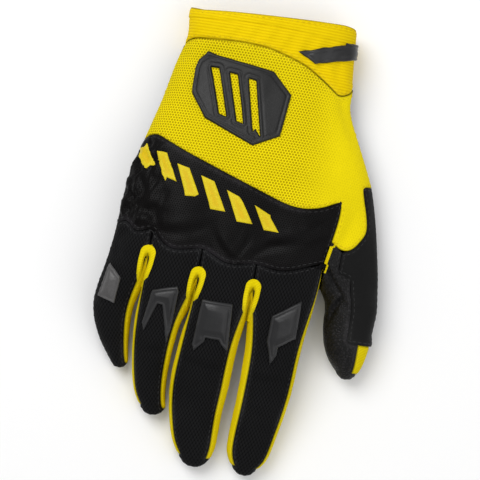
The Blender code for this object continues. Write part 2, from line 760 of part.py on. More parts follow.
def overlay(skin, directions, panels, outline, thickness, holes=(), lowest=0.0):
    """Solid that lies on the named panels inside an outline."""
    margin = 0.05 * HAND_LENGTH
    xs = [x for x, _ in outline]
    ys = [y for _, y in outline]

    def chosen(face, panel):
        points = [skin.points[corner] for corner in face]
        return (
            panel in panels
            and max(point.z for point in points) > lowest
            and min(xs) - margin < sum(point.x for point in points) / 4 < max(xs) + margin
            and min(ys) - margin < sum(point.y for point in points) / 4 < max(ys) + margin
            and (points[2] - points[0]).cross(points[3] - points[1]).z > -0.2 * (
                (points[2] - points[0]).cross(points[3] - points[1]).length)
        )

    mesh, layer, _ = patch(skin, directions, chosen)
    for line in (outline, *holes):
        cut_along(mesh, line)
    if lowest:
        bmesh.ops.bisect_plane(
            mesh, geom=mesh.verts[:] + mesh.edges[:] + mesh.faces[:],
            plane_co=(0, 0, lowest), plane_no=(0, 0, 1), clear_inner=True,
        )
    outside = []
    for face in mesh.faces:
        centre = face.calc_center_median()
        kept = inside(outline, centre.x, centre.y)
        kept = kept and not any(inside(hole, centre.x, centre.y) for hole in holes)
        if not kept:
            outside.append(face)
    bmesh.ops.delete(mesh, geom=outside, context="FACES")
    return thicken(mesh, layer, OVERLAY_GAP, OVERLAY_GAP + thickness)


def hand_outline(shares):
    """An outline over the hand, in metres."""
    return [(x * HAND_WIDTH, y * HAND_LENGTH) for x, y in shares]


def guard_outline(skin, number, last_row, shares):
    """An outline over a digit's back, in metres."""
    digit = DIGITS[number]
    left = skin.points[last_row[PER_FINGER * number]]
    right = skin.points[last_row[PER_FINGER * (number + 1)]]
    outline = []
    for along, across in shares:
        y = digit.root * HAND_LENGTH - along * digit.length
        centre, wide, _ = digit_section(digit, (left.x + right.x) / 2, y)
        outline.append((centre.x + across * wide, y))
    return outline


def make_material(name, colour, roughness):
    """A plain material in the part's colour."""
    material = bpy.data.materials.new(name)
    material.use_nodes = True
    shader = material.node_tree.nodes["Principled BSDF"]
    shader.inputs["Base Color"].default_value = (*colour, 1.0)
    shader.inputs["Roughness"].default_value = roughness
    shader.inputs["Metallic"].default_value = 0.0
    material.diffuse_color = (*colour, 1.0)
    return material


def make_object(name, points, faces, origin, colour, roughness):
    """One named piece with its own material."""
    mesh = bpy.data.meshes.new(name)
    mesh.from_pydata([point - origin for point in points], [], faces)
    mesh.shade_smooth()
    mesh.set_sharp_from_angle(angle=math.radians(50))
    mesh.materials.append(make_material(name, colour, roughness))
    piece = bpy.data.objects.new(name, mesh)
    bpy.context.scene.collection.objects.link(piece)
    return piece


def build_panels(skin, directions):
    """Closed solid of every panel: name, points, faces, colour, roughness."""
    pieces = []
    for name, (wall, colour, roughness) in PANELS.items():
        mesh, layer, used = patch(skin, directions, lambda face, panel, own=name: panel == own)
        shorten_webs(skin, used)
        pull_in(mesh, layer, SEAM_GAP / 2)
        pieces.append((name, *thicken(mesh, layer, -wall, 0.0), colour, roughness))
    return pieces


def build_overlays(skin, directions):
    """Guards, plate, tab and slashes."""
    pieces = []
    first_root = sum(count for *_, count in BANDS) * COLUMNS
    last_row = list(range(first_root, first_root + COLUMNS))
    for number, digit in enumerate(DIGITS):
        if digit.name in GUARDS:
            outline = guard_outline(skin, number, last_row, GUARDS[digit.name])
            solid = overlay(skin, directions, (digit.name + "_back",), outline, GUARD_THICKNESS)
            pieces.append((digit.name + "_guard", *solid, RUBBER, 0.4))
    tab = overlay(
        skin, directions, ("cuff_band",), hand_outline(TAB_OUTLINE), TAB_THICKNESS, lowest=TAB_LOWEST
    )
    pieces.append(("wrist_tab", *tab, RUBBER, 0.4))
    slots = [hand_outline(slot) for slot in PLATE_SLOTS]
    plate = overlay(
        skin, directions, ("back_mesh",), hand_outline(PLATE_OUTLINE), PLATE_THICKNESS, holes=slots
    )
    pieces.append(("back_plate", *plate, RUBBER, 0.5))
    for number, shares in enumerate(SLASHES, 1):
        slash = overlay(skin, directions, ("knuckle_panel",), hand_outline(shares), SLASH_THICKNESS)
        pieces.append(("slash_{}".format(number), *slash, YELLOW, 0.5))
    return pieces


def main():
    """Builds the glove with its origin at the middle of its footprint, on the surface it lies on."""
    for old in list(bpy.data.objects):
        bpy.data.objects.remove(old, do_unlink=True)
    skin = build_skin()
    directions = outward(skin)
    pieces = build_panels(skin, directions) + build_overlays(skin, directions)
    points = [point for piece in pieces for point in piece[1]]
    lows = [min(point[axis] for point in points) for axis in range(3)]
    highs = [max(point[axis] for point in points) for axis in range(3)]
    origin = Vector(((lows[0] + highs[0]) / 2, (lows[1] + highs[1]) / 2, lows[2]))
    for name, points, faces, colour, roughness in pieces:
        make_object(name, points, faces, origin, colour, roughness)


main()
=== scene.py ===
"""Looks of a motocross glove that lies palm down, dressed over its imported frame.

Each cloth panel starts as a copy of its solid: the side that shows is kept, smoothed by subdivision, creased and
rolled in at its seams, and given its wall again. Guards, plate, tab and shards are moulded onto the dressed
panels, and rows of stitches follow the seams. The frame has +Z up through the back of the hand, +Y from the
fingertips to the cuff and +X towards the thumb.
"""

import logging
import math
from dataclasses import dataclass, field
from enum import Enum
from typing import Callable

import bmesh
import bpy
import numpy as np
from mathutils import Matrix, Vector, noise
from mathutils.bvhtree import BVHTree
from mathutils.kdtree import KDTree


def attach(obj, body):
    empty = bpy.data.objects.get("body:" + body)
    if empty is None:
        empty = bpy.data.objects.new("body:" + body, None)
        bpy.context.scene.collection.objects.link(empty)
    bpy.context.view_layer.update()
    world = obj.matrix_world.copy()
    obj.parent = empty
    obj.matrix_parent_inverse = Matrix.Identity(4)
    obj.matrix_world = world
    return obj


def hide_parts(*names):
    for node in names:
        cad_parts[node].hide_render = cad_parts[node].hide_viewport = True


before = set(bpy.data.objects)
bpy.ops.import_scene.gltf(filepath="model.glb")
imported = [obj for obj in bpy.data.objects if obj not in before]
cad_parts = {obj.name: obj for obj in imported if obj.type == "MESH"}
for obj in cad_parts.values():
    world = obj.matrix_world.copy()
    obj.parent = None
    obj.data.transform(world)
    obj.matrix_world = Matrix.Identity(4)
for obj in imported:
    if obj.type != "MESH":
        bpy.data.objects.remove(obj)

MM = 0.001
BODY = "root"
SEAM_ATTRIBUTE = "seam_distance"
FLOOR_CLEARANCE = 0.1 * MM

log = logging.getLogger("glove")
Colour = tuple[float, float, float]


class Weave(Enum):
    """Surface pattern of a finish."""

    RIBS = "ribs"
    HOLES = "holes"
    DIAMONDS = "diamonds"
    DOTS = "dots"
    GRAIN = "grain"


def ramp(value: np.ndarray, low: float, high: float) -> np.ndarray:
    """Rises smoothly from 0 at low to 1 at high.

    Args:
        value: Places on the ramp.
        low: Where the rise starts.
        high: Where it ends.

    Returns:
        The heights of the ramp.
    """
    share = np.clip((value - low) / (high - low), 0.0, 1.0)
    return share * share * (3.0 - 2.0 * share)


def select_only(piece: bpy.types.Object) -> None:
    """Selects one object and makes it the active one."""
    bpy.ops.object.select_all(action="DESELECT")
    piece.select_set(True)
    bpy.context.view_layer.objects.active = piece


def set_mode(mode: str) -> None:
    """Enters edit or object mode."""
    bpy.ops.object.mode_set(mode=mode)


def apply_modifier(piece: bpy.types.Object, kind: str, **settings: object) -> None:
    """Adds a modifier and applies it.

    Args:
        piece: Object that takes it.
        kind: Blender's name for the modifier's type.
        settings: Values of the modifier.
    """
    select_only(piece)
    modifier = piece.modifiers.new(kind.title(), kind)
    for name, value in settings.items():
        setattr(modifier, name, value)
    bpy.ops.object.modifier_apply(modifier=modifier.name)


def read_points(mesh: bpy.types.Mesh) -> np.ndarray:
    """Places of a mesh's vertices."""
    values = np.empty(len(mesh.vertices) * 3)
    mesh.vertices.foreach_get("co", values)
    return values.reshape(-1, 3)


def read_normals(mesh: bpy.types.Mesh) -> np.ndarray:
    """Normals of a mesh's vertices."""
    values = np.empty(len(mesh.vertices) * 3)
    mesh.vertices.foreach_get("normal", values)
    return values.reshape(-1, 3)


def write_points(mesh: bpy.types.Mesh, points: np.ndarray) -> None:
    """Moves a mesh's vertices, and keeps them off the floor."""
    points[:, 2] = np.maximum(points[:, 2], FLOOR_CLEARANCE)
    mesh.vertices.foreach_set("co", points.ravel())
    mesh.update()


class Graph:
    """A shader node tree with short calls that add nodes and join them."""

    def __init__(self, tree: bpy.types.NodeTree) -> None:
        """Wraps a tree."""
        self.tree = tree

    def add(self, kind: str, *inputs: object, output: int = 0, **settings: object) -> bpy.types.NodeSocket:
        """Adds a node.

        Args:
            kind: Node type without the words ShaderNode.
            inputs: A socket or value for each input in order, None to leave one alone.
            output: Number of the output to give back.
            settings: Properties of the node.

        Returns:
            One of its output sockets.
        """
        node = self.tree.nodes.new("ShaderNode" + kind)
        for name, value in settings.items():
            setattr(node, name, value)
        for number, value in enumerate(inputs):
            self.join(value, node.inputs[number])
        return node.outputs[output]

    def join(self, value: object, target: bpy.types.NodeSocket) -> None:
        """Links a socket to an input, or sets the input's own value."""
        if isinstance(value, bpy.types.NodeSocket):
            self.tree.links.new(value, target)
        elif value is not None:
            target.default_value = value

    def math(self, operation: str, *inputs: object) -> bpy.types.NodeSocket:
        """A Math node."""
        return self.add("Math", *inputs, operation=operation)

    def step(self, value: object, low: float, high: float) -> bpy.types.NodeSocket:
        """A smooth rise from 0 at low to 1 at high."""
        return self.add("MapRange", value, low, high, 0.0, 1.0, interpolation_type="SMOOTHSTEP")

    def mix(self, factor: object, first: object, second: object) -> bpy.types.NodeSocket:
        """A mix of two colours."""
        node = self.tree.nodes.new("ShaderNodeMix")
        node.data_type = "RGBA"
        for name, value in (("Factor_Float", factor), ("A_Color", first), ("B_Color", second)):
            target = next(socket for socket in node.inputs if socket.identifier == name)
            self.join((*value, 1.0) if isinstance(value, tuple) and len(value) == 3 else value, target)
        return next(socket for socket in node.outputs if socket.identifier == "Result_Color")

    def group(self, tree: bpy.types.NodeTree, *inputs: object) -> bpy.types.Node:
        """Places a node group with its values."""
        node = self.tree.nodes.new("ShaderNodeGroup")
        node.node_tree = tree
        for number, value in enumerate(inputs):
            self.join(value, node.inputs[number])
        return node


GroupSockets = dict[str, str]


def start_group(name: str, inputs: GroupSockets, outputs: GroupSockets) -> tuple[Graph, list, bpy.types.Node]:
    """Makes an empty node group.

    Args:
        name: Name of the group.
        inputs: Each input's name and socket type.
        outputs: Each output's name and socket type.

    Returns:
        The graph, the sockets of its inputs and its output node.
    """
    tree = bpy.data.node_groups.new(name, "ShaderNodeTree")
    for title, kind in inputs.items():
        tree.interface.new_socket(title, in_out="INPUT", socket_type=kind)
    for title, kind in outputs.items():
        tree.interface.new_socket(title, in_out="OUTPUT", socket_type=kind)
    source = tree.nodes.new("NodeGroupInput")
    target = tree.nodes.new("NodeGroupOutput")
    return Graph(tree), list(source.outputs)[:len(inputs)], target


FLOAT = "NodeSocketFloat"
VECTOR = "NodeSocketVector"
COLOUR = "NodeSocketColor"
PATTERN_INPUTS = {"Place": VECTOR, "Pitch": FLOAT}
PATTERN_OUTPUTS = {"Height": FLOAT, "Mask": FLOAT}


class PatternGroups:
    """The shader node groups that the finishes share, each built once."""

    def __init__(self) -> None:
        """Builds every group."""
        self.by_weave = {
            Weave.RIBS: self.build_ribs(),
            Weave.HOLES: self.build_holes("pierced_rows", 0.20, 0.36),
            Weave.DIAMONDS: self.build_diamonds(),
            Weave.DOTS: self.build_holes("pressed_dots", 0.10, 0.30),
            Weave.GRAIN: self.build_grain(),
        }
        self.ageing_and_seam_shade = self.build_ageing_and_seam_shade()

    @staticmethod
    def split(graph: Graph, place: object, pitch: object) -> tuple[object, object]:
        """Across and along, counted in pitches."""
        across = graph.add("SeparateXYZ", place)
        along = across.node.outputs[1]
        return graph.math("DIVIDE", across, pitch), graph.math("DIVIDE", along, pitch)

    def build_ribs(self) -> bpy.types.NodeTree:
        """Fine ribs across the cloth, each of small knitted loops."""
        graph, (place, pitch), target = start_group("knit_ribs", PATTERN_INPUTS, PATTERN_OUTPUTS)
        across, along = self.split(graph, place, pitch)
        rib = graph.math("ABSOLUTE", graph.math("SINE", graph.math("MULTIPLY", along, math.pi)))
        lean = graph.math("ADD", graph.math("MULTIPLY", across, 2.0), graph.math("MULTIPLY", along, 0.5))
        loop = graph.math("ABSOLUTE", graph.math("SINE", graph.math("MULTIPLY", lean, math.pi)))
        height = graph.math("ADD", graph.math("MULTIPLY", rib, 0.75), graph.math("MULTIPLY", loop, 0.25))
        graph.join(height, target.inputs[0])
        graph.join(graph.math("SUBTRACT", 1.0, rib), target.inputs[1])
        return graph.tree

    def build_holes(self, name: str, inner: float, outer: float) -> bpy.types.NodeTree:
        """Round holes in staggered rows.

        Args:
            name: Name of the group.
            inner: Radius within which a hole is deepest, as a share of the pitch.
            outer: Radius where the cloth is level again.

        Returns:
            The group.
        """
        graph, (place, pitch), target = start_group(name, PATTERN_INPUTS, PATTERN_OUTPUTS)
        across, along = self.split(graph, place, pitch)
        row_height = math.sqrt(0.75)
        rows = graph.math("DIVIDE", along, row_height)
        stagger = graph.math("MULTIPLY", graph.math("MODULO", graph.math("FLOOR", rows), 2.0), 0.5)
        x = graph.math("SUBTRACT", graph.math("FRACT", graph.math("ADD", across, stagger)), 0.5)
        y = graph.math("MULTIPLY", graph.math("SUBTRACT", graph.math("FRACT", rows), 0.5), row_height)
        distance = graph.math("SQRT", graph.math("ADD", graph.math("MULTIPLY", x, x), graph.math("MULTIPLY", y, y)))
        level = graph.step(distance, inner, outer)
        graph.join(level, target.inputs[0])
        graph.join(graph.math("SUBTRACT", 1.0, level), target.inputs[1])
        return graph.tree

    def build_diamonds(self) -> bpy.types.NodeTree:
        """Small raised diamonds between crossing yarns."""
        graph, (place, pitch), target = start_group("diamond_knit", PATTERN_INPUTS, PATTERN_OUTPUTS)
        across, along = self.split(graph, place, pitch)
        waves = []
        for sign in ("ADD", "SUBTRACT"):
            turned = graph.math(sign, across, graph.math("MULTIPLY", along, 0.6))
            waves.append(graph.math("ABSOLUTE", graph.math("SINE", graph.math("MULTIPLY", turned, math.pi))))
        height = graph.math("SQRT", graph.math("MULTIPLY", *waves))
        graph.join(height, target.inputs[0])
        graph.join(graph.math("SUBTRACT", 1.0, graph.step(height, 0.15, 0.55)), target.inputs[1])
        return graph.tree

    def build_grain(self) -> bpy.types.NodeTree:
        """Pebbled grain with finer creases."""
        graph, (place, pitch), target = start_group("hide_grain", PATTERN_INPUTS, PATTERN_OUTPUTS)
        scale = graph.math("DIVIDE", 1.0, pitch)
        cells = graph.add("TexVoronoi", place, None, scale, feature="DISTANCE_TO_EDGE")
        height = graph.step(cells, 0.0, 0.35)
        fine = graph.add("TexNoise", place, None, graph.math("MULTIPLY", scale, 2.5), 3.0)
        total = graph.math("ADD", graph.math("MULTIPLY", height, 0.7), graph.math("MULTIPLY", fine, 0.3))
        graph.join(total, target.inputs[0])
        graph.join(graph.math("SUBTRACT", 1.0, height), target.inputs[1])
        return graph.tree

    @staticmethod
    def build_ageing_and_seam_shade() -> bpy.types.NodeTree:
        """Uneven dye, painted shade that darkens the cloth in its seams and creases, and cloth rubbed beside the
        seams.
        """
        inputs = {"Colour": COLOUR, "Place": VECTOR, "Seam": FLOAT, "Amount": FLOAT}
        outputs = {"Colour": COLOUR, "Rubbed": FLOAT}
        graph, (colour, place, seam, amount), target = start_group("ageing_and_seam_shade", inputs, outputs)
        patches = graph.add("TexNoise", place, None, 45.0, 3.0)
        dye = graph.math("MULTIPLY", graph.math("SUBTRACT", patches, 0.5), amount)
        toned = graph.add("HueSaturation", 0.5, 1.0, graph.math("ADD", dye, 1.0), 1.0, colour)
        # Painted shade: within 0.9 mm of a seam or crease the colour is mixed up to 0.55 of the way to black.
        depth = graph.math("SUBTRACT", 1.0, graph.step(seam, 0.0, 0.9 * MM))
        dark = graph.mix(graph.math("MULTIPLY", depth, 0.55), toned, (0.0, 0.0, 0.0))
        near = graph.math("SUBTRACT", 1.0, graph.step(seam, 0.8 * MM, 3.5 * MM))
        rubbed = graph.math("MULTIPLY", graph.math("MULTIPLY", near, graph.step(patches, 0.35, 0.75)), amount)
        graph.join(dark, target.inputs[0])
        graph.join(rubbed, target.inputs[1])
        return graph.tree


@dataclass(frozen=True)
class Finish:
    """A cloth, leather or rubber finish.

    name is the material's, slot the record's (slot is not used). base and deep are the colours of the surface
    and of its low places, rub the colour that wear shows. pitch and relief are the pattern's repeat and depth in
    metres. fade is where across the glove the pattern fades, heart a second colour in the middle of a printed
    shape. rings lets the pattern run round the glove instead of along the piece's own unwrapping.
    """

    name: str
    slot: str
    weave: Weave
    # deep is painted shade: a darker colour put into the pattern's low places, its grooves, holes and valleys.
    base: Colour
    low_shade: Colour
    rub: Colour
    pitch: float
    relief: float
    roughness: float = 0.8
    shine: float = 0.12
    sheen: float = 0.0
    coat: float = 0.0
    # Amount given to the ageing group: it scales the uneven dye and the rubbing, and the painted seam shade stays
    # full.
    ageing_and_seam_shade: float = 0.18
    fade: tuple[float, float] | None = None
    heart: Colour | None = None
    rings: bool = False

    def material(self, patterns: PatternGroups) -> bpy.types.Material:
        """The material, made once.

        Args:
            patterns: Shared node groups.

        Returns:
            The material.
        """
        title = self.name + "_surface"
        found = bpy.data.materials.get(title)
        if found:
            return found
        material = bpy.data.materials.new(title)
        material.use_nodes = True
        graph = Graph(material.node_tree)
        shader = material.node_tree.nodes["Principled BSDF"]
        place = graph.add("TexCoord", output=3)
        cut = graph.add("UVMap")
        seam = graph.add("Attribute", output=2, attribute_name=SEAM_ATTRIBUTE)
        pattern = graph.group(patterns.by_weave[self.weave], place if self.rings else cut, self.pitch)
        height, mask = pattern.outputs
        strength = self.fade_out(graph, place)
        shown = mask if strength is None else graph.math("MULTIPLY", mask, strength)
        ground = graph.mix(graph.step(seam, 2.2 * MM, 3.8 * MM), self.base, self.heart) if self.heart else self.base
        # Painted shade: the pattern's low places take the darker deep colour.
        weave_with_low_shade = graph.mix(shown, ground, self.low_shade)
        # The ageing group adds uneven dye and rubbing, and paints shade into seams and creases.
        ageing_and_seam_shade = graph.group(patterns.ageing_and_seam_shade, weave_with_low_shade, place, seam, self.ageing_and_seam_shade)
        colour, rubbed = ageing_and_seam_shade.outputs
        graph.join(graph.mix(rubbed, colour, self.rub), shader.inputs["Base Color"])
        fuzz = graph.add("TexNoise", place, None, 1.0 / (0.35 * MM), 2.0)
        rough = graph.add("MapRange", fuzz, 0.3, 0.7, self.roughness - 0.06, self.roughness + 0.06)
        graph.join(rough, shader.inputs["Roughness"])
        raised = graph.math("ADD", height, graph.math("MULTIPLY", fuzz, 0.25))
        if strength is not None:
            raised = graph.math("MULTIPLY", raised, strength)
        bump = graph.add("Bump", 1.0, self.relief, None, raised)
        self.set_bump(graph, bump.node, raised)
        graph.join(bump, shader.inputs["Normal"])
        shader.inputs["Sheen Weight"].default_value = self.sheen
        shader.inputs["Sheen Roughness"].default_value = 0.4
        shader.inputs["Coat Weight"].default_value = self.coat
        shader.inputs["Coat Roughness"].default_value = 0.35
        shader.inputs["Specular IOR Level"].default_value = self.shine
        return material

    def set_bump(self, graph: Graph, node: bpy.types.Node, raised: bpy.types.NodeSocket) -> None:
        """Sets the bump's strength and distance by name, and joins its height."""
        node.inputs["Strength"].default_value = 1.0
        node.inputs["Distance"].default_value = self.relief
        graph.join(raised, node.inputs["Height"])

    def fade_out(self, graph: Graph, place: bpy.types.NodeSocket) -> bpy.types.NodeSocket | None:
        """How strongly the pattern shows, where it fades towards the thumb."""
        if self.fade is None:
            return None
        across = graph.add("SeparateXYZ", place)
        return graph.math("SUBTRACT", 1.0, graph.math("MULTIPLY", graph.step(across, *self.fade), 0.85))


YELLOW = (0.84, 0.615, 0.002)
CUFF_KNIT = Finish(
    "cuff_ribs", "cuff_knit", Weave.RIBS, YELLOW, (0.74, 0.49, 0.001), (0.84, 0.66, 0.02),
    pitch=1.5 * MM, relief=0.2 * MM, shine=0.04, rings=True,
)
AIR_MESH = Finish(
    "air_mesh", "air_mesh", Weave.HOLES, (0.83, 0.675, 0.004), (0.48, 0.34, 0.001), (0.85, 0.72, 0.02),
    pitch=1.55 * MM, relief=0.4 * MM, shine=0.04, fade=(16 * MM, 42 * MM),
)
KNUCKLE_CLOTH = Finish(
    "knuckle_cloth", "knuckle_cloth", Weave.DOTS, (0.0035, 0.003, 0.003), (0.0006, 0.0006, 0.0006),
    (0.030, 0.027, 0.031), pitch=1.3 * MM, relief=0.24 * MM, roughness=0.36, shine=0.08, ageing_and_seam_shade=0.7,
)
FINGER_KNIT = Finish(
    "finger_knit", "finger_knit", Weave.DIAMONDS, (0.0105, 0.0105, 0.011), (0.0008, 0.0008, 0.0008),
    (0.028, 0.028, 0.03), pitch=1.8 * MM, relief=0.38 * MM, roughness=0.6, shine=0.04, ageing_and_seam_shade=0.6,
)
SIDE_KNIT = Finish(
    "side_knit", "side_knit", Weave.RIBS, (0.84, 0.69, 0.003), (0.58, 0.42, 0.001), (0.86, 0.73, 0.03),
    pitch=0.8 * MM, relief=0.12 * MM, shine=0.04,
)
THUMB_CLOTH = Finish(
    "thumb_cloth", "thumb_cloth", Weave.DOTS, (0.008, 0.008, 0.008), (0.004, 0.004, 0.004), (0.025, 0.025, 0.025),
    pitch=0.8 * MM, relief=0.08 * MM, roughness=0.6, shine=0.1, ageing_and_seam_shade=0.4,
)
PALM_LEATHER = Finish(
    "palm_leather", "palm_leather", Weave.GRAIN, (0.014, 0.013, 0.014), (0.002, 0.002, 0.002),
    (0.045, 0.042, 0.045), pitch=1.5 * MM, relief=0.3 * MM, roughness=0.5, shine=0.2, ageing_and_seam_shade=0.6,
)
GUARD_RUBBER = Finish(
    "guard_rubber", "moulded_rubber", Weave.GRAIN, (0.021, 0.021, 0.022), (0.014, 0.014, 0.015),
    (0.08, 0.08, 0.08), pitch=0.5 * MM, relief=0.03 * MM, roughness=0.35, shine=0.35, ageing_and_seam_shade=0.3,
)
PALE_RUBBER = Finish(
    "pale_rubber", "moulded_rubber", Weave.GRAIN, (0.10, 0.096, 0.096), (0.07, 0.068, 0.068),
    (0.16, 0.16, 0.16), pitch=0.5 * MM, relief=0.03 * MM, roughness=0.35, shine=0.35, ageing_and_seam_shade=0.3,
)
PLATE_RUBBER = Finish(
    "plate_rubber", "moulded_rubber", Weave.GRAIN, (0.008, 0.008, 0.008), (0.004, 0.004, 0.004),
    (0.04, 0.04, 0.04), pitch=0.6 * MM, relief=0.04 * MM, roughness=0.42, shine=0.3, ageing_and_seam_shade=0.3,
)
SHARD_PRINT = Finish(
    "shard_print", "raised_print", Weave.GRAIN, (0.78, 0.66, 0.02), (0.62, 0.46, 0.005), (0.80, 0.70, 0.05),
    pitch=0.7 * MM, relief=0.03 * MM, roughness=0.5, shine=0.15, heart=(0.78, 0.47, 0.006),
)
DARK_THREAD = Finish(
    "dark_thread", "finger_knit", Weave.RIBS, (0.035, 0.035, 0.036), (0.02, 0.02, 0.02), (0.05, 0.05, 0.05),
    pitch=0.3 * MM, relief=0.05 * MM, roughness=0.6, shine=0.15,
)
YELLOW_THREAD = Finish(
    "yellow_thread", "side_knit", Weave.RIBS, (0.78, 0.60, 0.006), (0.62, 0.42, 0.003), (0.80, 0.66, 0.03),
    pitch=0.3 * MM, relief=0.05 * MM, roughness=0.6, shine=0.1,
)


@dataclass(frozen=True)
class Fold:
    """A crease in the cloth, in millimetres of the frame.

    x and y are its middle, turn its direction in degrees, bend how far its ends curve aside.
    """

    x: float
    y: float
    turn: float
    length: float
    width: float
    depth: float
    bend: float = 0.0

    def press(self, points: np.ndarray) -> np.ndarray:
        """How far the fold moves each point along its normal.

        Args:
            points: Places on the cloth.

        Returns:
            The moves, negative in the crease and positive on the swell beside it.
        """
        angle = math.radians(self.turn)
        dx = points[:, 0] / MM - self.x
        dy = points[:, 1] / MM - self.y
        run = (dx * math.cos(angle) + dy * math.sin(angle)) / (self.length / 2)
        side = (dy * math.cos(angle) - dx * math.sin(angle) - self.bend * run * run) / (self.width / 2)
        crease = np.exp(-side * side) - 0.45 * np.exp(-((side - 1.9) / 1.1) ** 2)
        return -self.depth * MM * crease * np.exp(-(run ** 4))


FOLDS = (
    Fold(-66, 3, -38, 20, 4.0, 0.9, 2),
    Fold(-60, -2, 35, 16, 3.5, 0.8, -2),
    Fold(-68, -8, -60, 16, 4.0, 0.7),
    Fold(-57, 10, -20, 24, 5.0, 0.6, 3),
    Fold(-2, -4, 62, 24, 3.0, 1.0, 2),
    Fold(-8, -8, -35, 22, 3.5, 0.9, 2),
    Fold(8, -2, 35, 22, 3.2, 0.9, -2),
    Fold(-35, 0, 12, 26, 4.5, 0.8, 2),
    Fold(26, 5, 22, 34, 5.0, 0.7, 3),
    Fold(40, 72, -62, 26, 7.0, 0.9, 2),
    Fold(33, 84, -40, 26, 6.0, 0.7, -2),
    Fold(-44, 90, 10, 26, 6.0, 0.7, 2),
    Fold(-30, 95, -6, 30, 5.0, 0.5),
    Fold(50, 12, 70, 26, 6.0, 0.6, 2),
    Fold(58, -8, -30, 20, 5.0, 0.5, 2),
    Fold(46.8, -10.5, -56, 17, 2.4, 1.6, 1),
    Fold(50.3, -25.5, 68, 16, 2.4, 1.6, -1),
    Fold(60, -24, -12, 20, 5.0, 0.5, 1),
    Fold(-34, -62, 8, 22, 4.0, 0.9),
    Fold(-13, -66, -8, 26, 4.0, 0.9, 1),
    Fold(-16, -84, 6, 26, 5.0, 0.4, 1),
    Fold(22, -68, 6, 28, 4.0, 0.9, 1),
    Fold(20, -86, -8, 26, 5.0, 0.4, 1),
    Fold(-66, -48, -30, 18, 4.0, 0.5, 1),
)


def crumple(points: np.ndarray, size: float, height: float) -> np.ndarray:
    """Soft uneven waves of cloth that isn't stretched.

    Args:
        points: Places on the cloth.
        size: Usual width of a wave.
        height: Its usual height.

    Returns:
        Moves along the normals.
    """
    moves = np.empty(len(points))
    for number, point in enumerate(points):
        place = Vector(point) / size
        moves[number] = noise.noise(place) + 0.45 * noise.noise(place * 2.3)
    return moves * height


class Border:
    """The open edges of a dressed panel, in order, and how far each point lies from them."""

    def __init__(self, mesh: bpy.types.Mesh) -> None:
        """Reads the borders of a mesh."""
        shape = bmesh.new()
        shape.from_mesh(mesh)
        follow = {}
        for edge in shape.edges:
            if edge.is_boundary:
                loop = edge.link_loops[0]
                follow[loop.vert.index] = loop.link_loop_next.vert.index
        shape.free()
        points = read_points(mesh)
        self.loops: list[np.ndarray] = []
        while follow:
            start = next(iter(follow))
            run = []
            while start in follow:
                run.append(start)
                start = follow.pop(start)
            self.loops.append(np.array(run))
        self.points = points
        places = []
        travels = []
        steps_on = []
        steps_back = []
        for loop in self.loops:
            ring = points[loop]
            step = np.roll(ring, -1, axis=0) - ring
            places.append(ring)
            travels.append(np.concatenate(([0.0], np.cumsum(np.linalg.norm(step, axis=1))[:-1])))
            steps_on.append(step)
            steps_back.append(-np.roll(step, 1, axis=0))
        self.places = np.concatenate(places)
        self.travels = np.concatenate(travels)
        self.steps = (np.concatenate(steps_on), np.concatenate(steps_back))
        self.tree = KDTree(len(self.places))
        for number, place in enumerate(self.places):
            self.tree.insert(place, number)
        self.tree.balance()

    def measure(self, points: np.ndarray) -> tuple[np.ndarray, np.ndarray]:
        """Distance of each point from the border, and how far round the border it lies."""
        corner = np.array([self.tree.find(point)[1] for point in points])
        offset = points - self.places[corner]
        distance = np.linalg.norm(offset, axis=1)
        travel = self.travels[corner].copy()
        for steps, sign in zip(self.steps, (1.0, -1.0)):
            step = steps[corner]
            share = np.clip((offset * step).sum(axis=1) / np.maximum((step * step).sum(axis=1), 1e-12), 0.0, 1.0)
            away = np.linalg.norm(offset - step * share[:, None], axis=1)
            nearer = away < distance
            distance[nearer] = away[nearer]
            travel[nearer] += sign * (share * np.linalg.norm(step, axis=1))[nearer]
        return distance, travel


